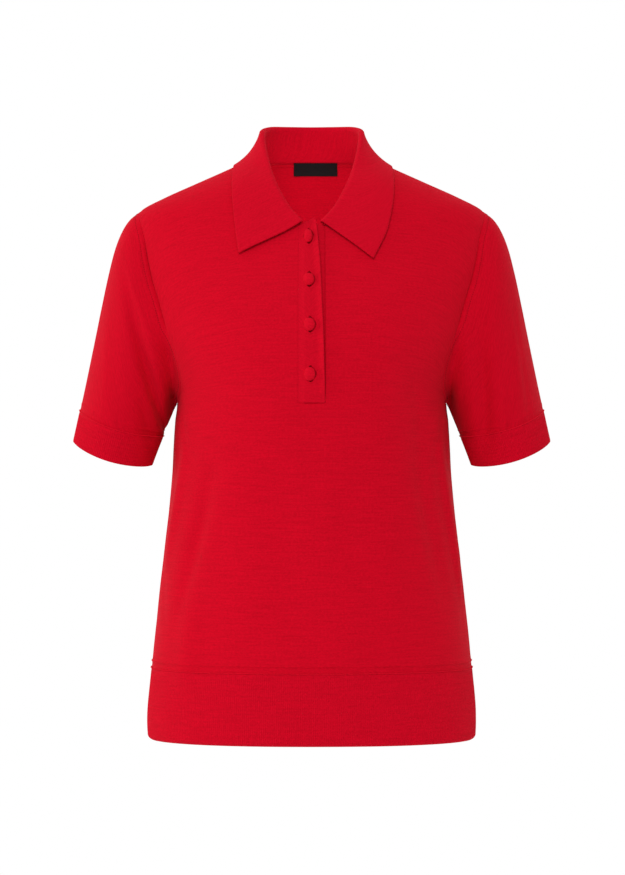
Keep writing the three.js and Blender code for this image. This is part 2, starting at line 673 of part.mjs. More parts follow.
// The middle line of the collar's section: up the stand, over the fold and down the leaf
function collarSection(spot) {
  const seam = collarSeamAt(spot);
  const ahead = Math.min(spot + SLOPE_STEP, 1);
  const behind = Math.max(spot - SLOPE_STEP, -1);
  const neckWay = collarSeamAt(ahead).point.sub(collarSeamAt(behind).point);
  const rise = new THREE.Vector3().crossVectors(seam.normal, neckWay).normalize();
  if (rise.z < 0) rise.negate();
  const endShare = Math.max(0, (Math.abs(spot) - COLLAR_END_RISE.from) / (1 - COLLAR_END_RISE.from));
  const root = seam.point.clone().addScaledVector(seam.normal, -PANEL_WALL / 2)
    .addScaledVector(rise, SEAM_GAP + COLLAR_END_RISE.height * endShare);
  const crest = collarFoldAt(spot);
  const edge = clearOfBody(collarEdgeAt(spot), COLLAR_LIFT);
  const foldWay = collarFoldAt(ahead).sub(collarFoldAt(behind)).normalize();
  const crestWay = crest.clone().sub(root.clone().lerp(edge, 0.5));
  crestWay.addScaledVector(foldWay, -crestWay.dot(foldWay)).normalize();
  const leafWay = new THREE.Vector3().crossVectors(crestWay, foldWay).normalize();
  if (leafWay.dot(seam.normal) < 0) leafWay.negate();
  const radius = mix(COLLAR_FOLD_RADIUS.back, COLLAR_FOLD_RADIUS.front, spot * spot);
  const centre = crest.clone().addScaledVector(crestWay, -radius);
  const standTop = centre.clone().addScaledVector(leafWay, -radius);
  const leafTop = centre.clone().addScaledVector(leafWay, radius);
  const standReach = COLLAR_CURVE_REACH * root.distanceTo(standTop);
  const leafReach = COLLAR_CURVE_REACH * leafTop.distanceTo(edge);
  const leafEnd = edge.clone().sub(leafTop).normalize();
  const edgeNormal = bodyNormal(edge);
  const alongBody = leafEnd.clone().addScaledVector(edgeNormal, -leafEnd.dot(edgeNormal)).normalize();
  leafEnd.lerp(alongBody, COLLAR_LEAF.flattening).normalize();
  const fallLeft = 1 - THREE.MathUtils.smoothstep(Math.abs(spot), ...COLLAR_LEAF.fallEnds);
  const fall = COLLAR_LEAF.fall * fallLeft;
  const leafStart = crestWay.clone().negate().lerp(new THREE.Vector3(0, 0, -1), fall).normalize();
  const toTop = standTop.clone().sub(root).normalize();
  const turn = COLLAR_STAND_TURN * THREE.MathUtils.smoothstep(Math.abs(spot), COLLAR_SHOULDER_SPOT, 1);
  const rootWay = rise.clone().lerp(toTop, turn).normalize();
  const stand = new THREE.CubicBezierCurve3(root, root.clone().addScaledVector(rootWay, standReach),
    standTop.clone().addScaledVector(crestWay, -standReach), standTop);
  const leaf = new THREE.CubicBezierCurve3(leafTop,
    leafTop.clone().addScaledVector(leafStart, leafReach),
    edge.clone().addScaledVector(leafEnd, -leafReach), edge);
  const fold = evenSteps(COLLAR_STEPS.fold).slice(1, -1).map((share) => {
    const bend = Math.PI * share;
    return centre.clone().addScaledVector(leafWay, -radius * Math.cos(bend))
      .addScaledVector(crestWay, radius * Math.sin(bend));
  });
  const points = [
    ...stand.getPoints(COLLAR_STEPS.stand),
    ...fold,
    ...leaf.getPoints(COLLAR_STEPS.leaf).map((point) => clearOfBody(point, COLLAR_LIFT)),
  ];
  return { points, rootNormal: seam.normal };
}

// The collar: one strip sewn to the neck, folded over and spread on the shoulders
function collar() {
  const back = evenSteps(NECK_COLUMNS).map((step) => step * COLLAR_SHOULDER_SPOT);
  const front = evenSteps(NECK_COLUMNS).slice(1).map((step) => mix(COLLAR_SHOULDER_SPOT, 1, step));
  const half = [...back, ...front];
  const spots = [...half.slice(1).map((spot) => -spot).reverse(), ...half];
  const sections = spots.map(collarSection);
  const lastRow = sections.length - 1;
  const lastColumn = sections[0].points.length - 1;
  const across = (i, j) => sections[i].points[Math.min(j + 1, lastColumn)].clone()
    .sub(sections[i].points[Math.max(j - 1, 0)]);
  const along = (i, j) => sections[Math.min(i + 1, lastRow)].points[j].clone()
    .sub(sections[Math.max(i - 1, 0)].points[j]);
  const middle = lastRow / 2;
  const facing = Math.sign(across(middle, 0).cross(along(middle, 0)).dot(sections[middle].rootNormal));
  const normalAt = (i, j) => (j === 0 ? sections[i].rootNormal
    : across(i, j).cross(along(i, j)).normalize().multiplyScalar(facing));
  const layer = (offset) => sections.map(({ points }, i) => points.map(
    (point, j) => point.clone().addScaledVector(normalAt(i, j), offset)));
  return clothWall(layer(COLLAR_WALL / 2), layer(-COLLAR_WALL / 2));
}

const upperEdgeX = curveThrough(UPPER_BAND_EDGE, 'z', 'x');
const buttonX = curveThrough(BUTTONS, 'z', 'x');

// How proud of the front the upper placket band lies, from its seam to where it covers the other
function upperBandProud(x) {
  return UPPER_BAND_PROUD * THREE.MathUtils.smoothstep(x, ...UPPER_BAND_RISE_X);
}

// The upper placket band, with an upright buttonhole round each button's shank
function upperPlacket() {
  const holes = BUTTONS.flatMap(({ z }) => [z - BUTTONHOLE_HALF_LENGTH, z + BUTTONHOLE_HALF_LENGTH]);
  const between = BUTTONS.slice(1).map(({ z }, i) => (z + BUTTONS[i].z) / 2);
  const levels = [PLACKET_BOTTOM_Z, ...holes, ...between].sort((a, b) => a - b);
  const rows = [...levels, null];
  const isHole = (i) => BUTTONS.some(({ z }) => levels[i] === z - BUTTONHOLE_HALF_LENGTH);
  const columnsAt = (z) => {
    const edge = upperEdgeX(z);
    const slot = [buttonX(z) - BUTTONHOLE_HALF_WIDTH, buttonX(z) + BUTTONHOLE_HALF_WIDTH];
    return [...UPPER_BAND_RISE_X, ...slot, mix(slot[1], edge, 0.5), edge];
  };
  const top = UPPER_BAND_TOP;
  const layer = (offset) => rows.map((level) => columnsAt(level ?? top.z).map((x) => {
    const z = level ?? top.z - (top.x - x) * top.slope;
    return bodyPoint(x, z, FRONT, upperBandProud(x) + offset).point;
  }));
  const slotColumn = 2;
  return clothWall(layer(0), layer(-BAND_WALL), { keep: (i, j) => j !== slotColumn || !isHole(i) });
}

// The under placket band, which the buttons are sewn to
function underPlacket() {
  const levels = evenSteps(UNDER_BAND_ROWS).map((step) => mix(PLACKET_BOTTOM_Z, UNDER_BAND_TOP_Z, step));
  const columns = evenSteps(UNDER_BAND_COLUMNS)
    .map((step) => mix(UNDER_BAND_HIDDEN_X, SLIT_HALF_WIDTH - SEAM_GAP, step));
  const layer = (offset) => levels.map((z) => columns
    .map((x) => bodyPoint(x, z, FRONT, offset - UNDER_BAND_SUNK).point));
  return clothWall(layer(0), layer(-BAND_WALL));
}

// A covered button: a low dome above the upper band, on a shank that reaches the under band
function buttonShape() {
  const foot = UPPER_BAND_PROUD + UNDER_BAND_SUNK - SEAM_GAP;
  const base = SEAM_GAP;
  const dome = evenSteps(BUTTON_DOME_STEPS).map((step) => {
    const turn = radians(90 * step);
    const height = base + BUTTON_RIM + (BUTTON_DOME - BUTTON_RIM) * Math.sin(turn);
    return new THREE.Vector2(BUTTON_RADIUS * Math.cos(turn), height);
  });
  dome[dome.length - 1].x = 0;
  const profile = [
    new THREE.Vector2(0, -foot),
    new THREE.Vector2(SHANK_RADIUS, -foot),
    new THREE.Vector2(SHANK_RADIUS, base),
    new THREE.Vector2(BUTTON_RADIUS - BUTTON_UNDERCUT, base),
    ...dome,
  ];
  return new THREE.LatheGeometry(profile, BUTTON_SIDES);
}

// The bare woven label inside the back neck, across the collar seam
function neckLabel() {
  const columns = evenSteps(LABEL_COLUMNS).map((step) => LABEL.centreX + LABEL.width * (step - 0.5));
  const levels = evenSteps(LABEL_ROWS).map((step) => LABEL.topZ - LABEL.height * step);
  const layer = (offset) => levels.map((z) => columns.map((x) => bodyPoint(x, z, BACK, offset).point));
  const face = -PANEL_WALL - LABEL.gap;
  return clothWall(layer(face), layer(face - LABEL_WALL));
}

const shirt = new THREE.Group();

function addPiece(name, geometry, material) {
  const piece = new THREE.Mesh(geometry, material);
  piece.name = name;
  shirt.add(piece);
  return piece;
}

addPiece('front', bodyPanel(FRONT), RED_KNIT);
addPiece('back', bodyPanel(BACK), RED_KNIT);
addPiece('sleeve_right', sleeve(RIGHT), RED_KNIT);
addPiece('sleeve_left', sleeve(LEFT), RED_KNIT);
addPiece('cuff_right', cuff(RIGHT), RED_RIB);
addPiece('cuff_left', cuff(LEFT), RED_RIB);
addPiece('hem_front', hemBand(FRONT), RED_RIB);
addPiece('hem_back', hemBand(BACK), RED_RIB);
addPiece('collar', collar(), RED_KNIT);
addPiece('placket_upper', upperPlacket(), RED_KNIT);
addPiece('placket_under', underPlacket(), RED_KNIT);
BUTTONS.forEach(({ x, z }, i) => {
  const button = addPiece(`button_${i + 1}`, buttonShape(), RED_KNIT);
  const seat = bodyPoint(x, z, FRONT, UPPER_BAND_PROUD);
  button.position.copy(seat.point);
  button.quaternion.setFromUnitVectors(new THREE.Vector3(0, 1, 0), seat.normal);
});
addPiece('neck_label', neckLabel(), BLACK_WOVEN);

export default shirt;
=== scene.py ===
"""A red fine-knit polo shirt in its worn, hollow form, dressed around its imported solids.

Shapes are worked out in millimetres and meshes hold metres. +Z is up, -Y the front and +X the
wearer's left. Each piece of cloth is a thin shell on the form of its own solid.
"""

from __future__ import annotations

import logging
import math
from dataclasses import dataclass, field
from enum import Enum
from functools import partial
from typing import Any, Mapping, Sequence

import bmesh
import bpy
import numpy as np
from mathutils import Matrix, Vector

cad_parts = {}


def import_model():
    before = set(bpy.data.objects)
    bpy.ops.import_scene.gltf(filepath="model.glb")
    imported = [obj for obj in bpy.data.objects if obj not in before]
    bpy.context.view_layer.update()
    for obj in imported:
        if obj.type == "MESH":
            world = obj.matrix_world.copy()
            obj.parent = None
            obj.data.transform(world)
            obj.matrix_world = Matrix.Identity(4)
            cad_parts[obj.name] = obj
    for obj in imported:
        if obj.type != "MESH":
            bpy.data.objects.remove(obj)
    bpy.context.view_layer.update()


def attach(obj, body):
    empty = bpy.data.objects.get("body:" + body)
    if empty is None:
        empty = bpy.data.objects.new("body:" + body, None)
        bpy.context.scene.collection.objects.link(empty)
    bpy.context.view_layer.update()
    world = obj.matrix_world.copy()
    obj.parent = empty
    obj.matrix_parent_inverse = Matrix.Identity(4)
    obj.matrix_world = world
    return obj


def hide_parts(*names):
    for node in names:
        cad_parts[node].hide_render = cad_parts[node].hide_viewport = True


LOG = logging.getLogger("polo_shirt")
MM = 0.001
HALF_TURN = 180.0
FRONT, BACK = -1, 1
SLOPE_STEP = 0.01
WELD_DISTANCE = 2e-6
SEAM_BULGE = 0.08
RIM_SHARE = 0.3
RIB_RIM_SHARE = 0.36
RIB_END_FADE = (-0.6, 1.0)
POINTS_PER_RIB = 6
SHOULDER_GROOVE = 0.25
SHOULDER_FADE = (60, 110)

Array = np.ndarray


class Hand(Enum):
    """The wearer's own two sides, with the sign of X on each."""

    RIGHT = -1
    LEFT = 1

    @property
    def word(self) -> str:
        """The side's name as it is used in the nodes' names."""
        return self.name.lower()


class Edge(Enum):
    """The four edges of a grid of cloth points."""

    FIRST_ROW = "first row"
    LAST_ROW = "last row"
    FIRST_COLUMN = "first column"
    LAST_COLUMN = "last column"


def table(columns: str, rows: Sequence[Sequence[float]]) -> dict[str, Array]:
    """Gives rows of plain numbers as named columns.

    Args:
        columns: the columns' names, with a space between them.
        rows: the rows, each as long as the list of names.

    Returns:
        One array for each name.
    """
    values = np.array(rows, float)
    return {name: values[:, i] for i, name in enumerate(columns.split())}


def mix(start: Any, end: Any, share: Any) -> Any:
    """Goes from start to end by a share of the way."""
    return start + (end - start) * share


def smoothstep(value: Any, low: float, high: float) -> Any:
    """Rises smoothly from 0 at low to 1 at high."""
    share = np.clip((np.asarray(value, float) - low) / (high - low), 0, 1)
    return share * share * (3 - 2 * share)


def unit(vectors: Array) -> Array:
    """Gives vectors a length of 1."""
    return vectors / np.maximum(np.linalg.norm(vectors, axis=-1, keepdims=True), 1e-12)


def dot(first: Array, second: Array) -> Array:
    """Multiplies vectors and keeps the last axis."""
    return (first * second).sum(axis=-1, keepdims=True)


def wrapped(angle: Array) -> Array:
    """Brings any angle between -180 and 180 degrees."""
    return np.mod(angle + HALF_TURN, 2 * HALF_TURN) - HALF_TURN


def signed(full: Array) -> Array:
    """Turns angles from 0 to 360 degrees into ones from -180 to 180."""
    return np.where(full <= HALF_TURN, full, full - 2 * HALF_TURN)


def rib_steps(ring: Array, pitch: float) -> tuple[Array, Array, Array]:
    """Divides a ring of cloth into whole ribs.

    Args:
        ring: the ring's points, close together.
        pitch: about how wide one rib is.

    Returns:
        How far round each point lies, how far each column lies, and the columns' places in
        metres where every rib has exactly that pitch.
    """
    arc = np.concatenate([[0], np.cumsum(np.linalg.norm(np.diff(ring, axis=0), axis=-1))])
    ribs = round(arc[-1] / pitch)
    steps = np.linspace(0, arc[-1], ribs * POINTS_PER_RIB + 1)
    return arc, steps, steps * MM * (ribs * pitch / arc[-1])


def fine_steps(count: int, first: Sequence[float] = (), last: Sequence[float] = ()) -> Array:
    """Steps from 0 to 1 with closer ones near an end, where a seam needs them.

    Args:
        count: the number of even steps.
        first: shares of the way to add near 0.
        last: distances from 1 to add near the end.

    Returns:
        The sorted steps.
    """
    even = np.linspace(0, 1, count + 1)
    extra = [*first, *(1 - np.array(last))]
    clear = [x for x in even if all(abs(x - y) > 0.4 / count for y in extra) or x in (0.0, 1.0)]
    return np.array(sorted({*clear, *extra}))


class SmoothCurve:
    """A curve through one column of a table that doesn't overshoot between its rows."""

    def __init__(self, at: Array, value: Array) -> None:
        """Finds the slope at each row.

        Args:
            at: where the rows lie, in any order.
            value: what the curve has there.
        """
        order = np.argsort(at)
        self.at, self.value = np.asarray(at, float)[order], np.asarray(value, float)[order]
        width = np.diff(self.at)
        chord = np.diff(self.value) / width
        self.slope = np.zeros_like(self.at)
        self.slope[0], self.slope[-1] = chord[0], chord[-1]
        before, after = chord[:-1], chord[1:]
        lead, tail = 2 * width[1:] + width[:-1], width[1:] + 2 * width[:-1]
        safe = before * after > 0
        self.slope[1:-1][safe] = (lead + tail)[safe] / (
            lead[safe] / before[safe] + tail[safe] / after[safe])

    def __call__(self, spot: Any) -> Array:
        """Gives the curve's value, in a straight line past its ends."""
        spot = np.asarray(spot, float)
        inside = np.clip(spot, self.at[0], self.at[-1])
        i = np.clip(np.searchsorted(self.at, inside, side="right") - 1, 0, len(self.at) - 2)
        width = self.at[i + 1] - self.at[i]
        s = (inside - self.at[i]) / width
        rest = 1 - s
        value = (self.value[i] * (1 + 2 * s) * rest * rest + self.slope[i] * width * s * rest * rest
                 + self.value[i + 1] * s * s * (3 - 2 * s) - self.slope[i + 1] * width * s * s * rest)
        return value + self.slope[0] * np.minimum(spot - self.at[0], 0) + (
            self.slope[-1] * np.maximum(spot - self.at[-1], 0))


@dataclass(frozen=True)
class Folds:
    """Soft ridges and troughs, each from one place on the cloth to another.

    Across is an angle round the body or sleeve, and along is the way down it. A ridge has a height
    over 0 and a trough one under 0. Widths and heights are millimetres.
    """

    rows: dict[str, Array]
    girth_step: float

    def height(self, across: Array, along: Array) -> Array:
        """Adds up the height of every fold at some places.

        Args:
            across: the angle of each place.
            along: how far down each place lies.

        Returns:
            The height over the smooth cloth, in millimetres.
        """
        total = np.zeros(np.broadcast(across, along).shape)
        rows = self.rows
        for i in range(len(rows["width"])):
            share = (along - rows["start_along"][i]) / (rows["end_along"][i] - rows["start_along"][i])
            middle = mix(rows["start_across"][i], rows["end_across"][i], share)
            distance = wrapped(across - middle) * self.girth_step / rows["width"][i]
            wave = np.sin(np.pi * np.clip(share, 0, 1)) * np.exp(-distance * distance)
            total = total + rows["height"][i] * wave
        return total


FOLD_COLUMNS = "start_across start_along end_across end_along width height"


@dataclass
class BodyForm:
    """The body of the shirt, from rounded level sections, with its neck, armholes and folds."""

    neck_half_width: float = 64
    front_neck_drop: float = 72
    shoulder_z: float = -52
    underarm_z: float = -251
    hem_seam_z: float = -522
    hem_z: float = -594
    roundness: float = 2.3
    neck_curve_ease: float = 1.5
    neck_share: float = 0.45
    slit_half_width: float = 13.5
    seam_gap: float = 0.06
    undulation: float = 0.3
    undulation_bend: float = 1.3
    undulation_lengths: tuple[float, ...] = (23, 31, 29, 37)
    sections: dict[str, Array] = field(default_factory=lambda: table("z half front back", [
        [0, 64, 12, 58], [-5, 75, 26, 61], [-12, 90.3, 38, 64.4], [-25, 119.2, 52, 70.5],
        [-40, 152.4, 63, 77.5], [-52, 174.6, 70, 83], [-60, 181.5, 74.6, 86],
        [-70, 184.5, 80.1, 89.7], [-95, 183.6, 94.3, 97.3], [-120, 179.5, 107.2, 103],
        [-150, 170.5, 121, 107.2], [-180, 161, 131.2, 108.9], [-205, 150, 135.6, 109],
        [-225, 142.5, 136, 107.5], [-241, 138.6, 135.4, 106], [-252, 138.6, 134.3, 105],
        [-270, 140.8, 132.5, 103.4], [-320, 143.3, 127.6, 99.5], [-390, 150.3, 123, 99],
        [-450, 157.3, 120.3, 103], [-522, 164.5, 118.4, 109], [-575, 168.8, 117.7, 111.4],
        [-594, 168.2, 117.5, 112],
    ]))
    armhole: dict[str, Array] = field(default_factory=lambda: table("share z front back", [
        [0, -251, 90, 90], [0.0909, -250, 83, 84], [0.1818, -241, 75, 77.5],
        [0.2727, -225, 68.5, 72], [0.3636, -205, 65, 69], [0.4545, -180, 63.5, 67],
        [0.5455, -150, 63.5, 67], [0.6364, -120, 64, 67.5], [0.7273, -92, 65.5, 68.5],
        [0.8182, -70, 69.5, 71], [0.9091, -57, 79, 79], [1, -52, 90, 90],
    ]))
    folds: Folds = Folds(table(FOLD_COLUMNS, [
        [62, -262, 80, -470, 11, 4.2], [43, -270, 58, -465, 14, -3.2],
        [-60, -275, -76, -430, 11, 3.6], [-39, -300, -56, -460, 14, -3],
        [-46, -440, -50, -545, 16, 3], [24, -330, 30, -500, 18, 2],
        [118, -265, 104, -460, 13, 3.8], [137, -280, 126, -480, 15, -3],
        [-116, -262, -103, -440, 13, 3.6], [-140, -300, -128, -500, 15, -3],
        [166, -210, 158, -420, 18, -2.2], [-163, -240, -170, -450, 18, 2.2],
    ]), girth_step=2.4)
    creases: Folds = Folds(table(FOLD_COLUMNS, [
        [70, -256, 56, -318, 5, -1.1], [78, -262, 72, -350, 6, 1.0],
        [-70, -254, -57, -312, 5, -1.1], [-79, -262, -70, -342, 6, 1.0],
        [84, -380, 70, -500, 7, -0.9], [-84, -372, -66, -488, 8, -0.8],
        [12, -300, -8, -420, 22, 0.9], [-14, -300, -3, -500, 20, -2.6],
        [-41, -300, -57, -480, 10, -2.4], [61, -275, 76, -480, 4, 1.9],
        [18, -110, 30, -340, 28, 3], [47, -215, 50, -340, 13, -2.2],
        [84, -236, 84, -300, 6, -2.2], [-84, -236, -84, -300, 6, -2.2],
        [110, -256, 124, -330, 6, -1.1], [-108, -254, -125, -322, 6, -1.1],
        [150, -300, 170, -440, 16, 0.9], [-150, -280, -176, -400, 17, -0.9],
    ]), girth_step=2.4)

    def __post_init__(self) -> None:
        """Fits the curves through the tables."""
        rows, arm = self.sections, self.armhole
        self.half_width = SmoothCurve(rows["z"], rows["half"])
        self.front_depth = SmoothCurve(rows["z"], rows["front"])
        self.back_depth = SmoothCurve(rows["z"], rows["back"])
        self.armhole_z = SmoothCurve(arm["share"], arm["z"])
        self.armhole_front = SmoothCurve(arm["share"], arm["front"])
        self.armhole_back = SmoothCurve(arm["share"], arm["back"])

    def depth(self, z: Array, side: Any) -> Array:
        """Gives how deep the body is before or behind its side seams."""
        return np.where(np.asarray(side) < 0, self.front_depth(z), self.back_depth(z))

    def outside(self, points: Array) -> Array:
        """Gives how far points lie outside the sections, as a share of the sections' size."""
        x, y, z = points[..., 0], points[..., 1], points[..., 2]
        across = np.abs(x) / self.half_width(z)
        deep = np.abs(y) / self.depth(z, np.where(y < 0, FRONT, BACK))
        return (across ** self.roundness + deep ** self.roundness) ** (1 / self.roundness) - 1

    def gradient(self, points: Array) -> Array:
        """Gives the steepest way out of the body at each point."""
        slopes = []
        for axis in np.eye(3) * SLOPE_STEP:
            slopes.append(self.outside(points + axis) - self.outside(points - axis))
        return np.stack(slopes, axis=-1) / (2 * SLOPE_STEP)

    def girth(self, x: Array, z: Array, side: Any) -> Array:
        """Gives the angle round the body, 0 at the middle of the front and 180 at the back."""
        reach = np.minimum(np.abs(x) / self.half_width(z), 1)
        angle = np.degrees(np.arcsin(reach ** (self.roundness / 2)))
        return np.sign(x) * np.where(np.asarray(side) < 0, angle, HALF_TURN - angle)

    def point(self, x: Array, z: Array, side: Any, offset: Any = 0.0) -> tuple[Array, Array]:
        """Finds points of the cloth's outer face.

        Args:
            x: how far across each point lies.
            z: its height.
            side: FRONT or BACK.
            offset: how far it is moved out.

        Returns:
            The points, and the smooth body's normals there.
        """
        x, z, side, offset = np.broadcast_arrays(
            np.asarray(x, float), np.asarray(z, float), np.asarray(side), np.asarray(offset, float))
        reach = np.minimum(np.abs(x) / self.half_width(z), 1)
        y = side * self.depth(z, side) * (1 - reach ** self.roundness) ** (1 / self.roundness)
        point = np.stack([x, y, z], axis=-1)
        normal = unit(self.gradient(point))
        level = unit(normal * [1, 1, 0])
        girth = self.girth(x, z, side)
        height = self.folds.height(girth, z) + self.creases.height(girth, z)
        across, bend, down, lean = self.undulation_lengths
        height = height + self.undulation * (
            np.sin(x / across + self.undulation_bend * np.sin(z / bend))
            * np.sin(z / down + np.cos(x / lean) + side))
        return point + level * height[..., None] + normal * offset[..., None], normal

    def armhole_spot(self, share: Any, side: Any) -> tuple[Array, Array]:
        """Gives x and z on the armhole seam, by the share of the way up from the underarm."""
        z = self.armhole_z(share)
        degrees = np.where(np.asarray(side) < 0, self.armhole_front(share), self.armhole_back(share))
        angle = np.radians(np.minimum(degrees, 90))
        return self.half_width(z) * np.sin(angle) ** (2 / self.roundness), z

    def spread(self, share: Array) -> Array:
        """Turns an even share of the way round into a share of the half width."""
        return np.sin(np.radians(90 * share)) ** (2 / self.roundness)

    def neck_spot(self, share: Array, side: int) -> tuple[Array, Array]:
        """Gives x and z on the neck edge, by the share of the way from the middle out."""
        share = np.asarray(share, float)
        if side == BACK:
            x = self.neck_half_width * self.spread(share)
            return x, np.zeros_like(x)
        slit_angle = math.acos(self.slit_half_width / self.neck_half_width)
        angle = slit_angle * (1 - share) ** self.neck_curve_ease
        return self.neck_half_width * np.cos(angle), -self.front_neck_drop * np.sin(angle)

    def top_spot(self, across: Array, side: int) -> tuple[Array, Array]:
        """Gives x and z on a panel's top edge: first the neck, then the shoulder seam."""
        neck_x, neck_z = self.neck_spot(np.minimum(across / self.neck_share, 1), side)
        z = self.shoulder_z * np.maximum(across - self.neck_share, 0) / (1 - self.neck_share)
        at_neck = across <= self.neck_share
        return np.where(at_neck, neck_x, self.half_width(z)), np.where(at_neck, neck_z, z)

    def low_x(self, across: Array, z: Array, side: int) -> Array:
        """Gives how far across a place below the underarm lies."""
        slit = self.slit_half_width if side == FRONT else 0
        return slit + (self.half_width(z) - slit) * self.spread(across)

    def panel_spot(self, across: Array, up: Array, side: int) -> tuple[Array, Array]:
        """Gives x and z of a panel's own places.

        Args:
            across: 0 at the middle or slit and 1 at the side seam or armhole.
            up: -1 at the hem seam, 0 at the underarm and 1 at the neck and shoulder.
            side: FRONT or BACK.

        Returns:
            The two coordinates, on the wearer's left.
        """
        slit = self.slit_half_width if side == FRONT else 0
        low_z = mix(self.underarm_z, self.hem_seam_z + self.seam_gap / 2, np.maximum(-up, 0))
        edge_x, edge_z = self.armhole_spot(np.maximum(up, 0), side)
        rise = (edge_z - self.underarm_z) / (self.shoulder_z - self.underarm_z)
        top_x, top_z = self.top_spot(across, side)
        top_share = (top_x - slit) / (self.half_width(self.shoulder_z) - slit)
        high_x = slit + (edge_x - slit) * mix(self.spread(across), top_share, rise)
        high_z = mix(self.underarm_z, top_z, rise)
        low = up <= 0
        return np.where(low, self.low_x(across, low_z, side), high_x), np.where(low, low_z, high_z)


def near_shoulder(z: Array) -> Array:
    """Gives how deep the armhole's groove is, as it fades towards the shoulder's point."""
    return mix(SHOULDER_GROOVE, 1, smoothstep(-z, *SHOULDER_FADE))


def seam_normals(body_side: Array, sleeve_side: Array) -> tuple[Array, Array, Array]:
    """Finds the slant that body and sleeve share at the armhole, so neither enters the other.

    Args:
        body_side: the body's normals.
        sleeve_side: the sleeve's normals at the same places.

    Returns:
        The body's slant, the sleeve's slant, and how sharp the corner between them is.
    """
    sharp = smoothstep(0.5 - dot(body_side, sleeve_side), 0, 0.7)
    shared = unit(body_side + sleeve_side)

    def seam(own: Array) -> Array:
        normal = unit(mix(shared, own, sharp))
        return normal / np.maximum(dot(normal, own), 0.7)

    return seam(body_side), seam(sleeve_side), sharp


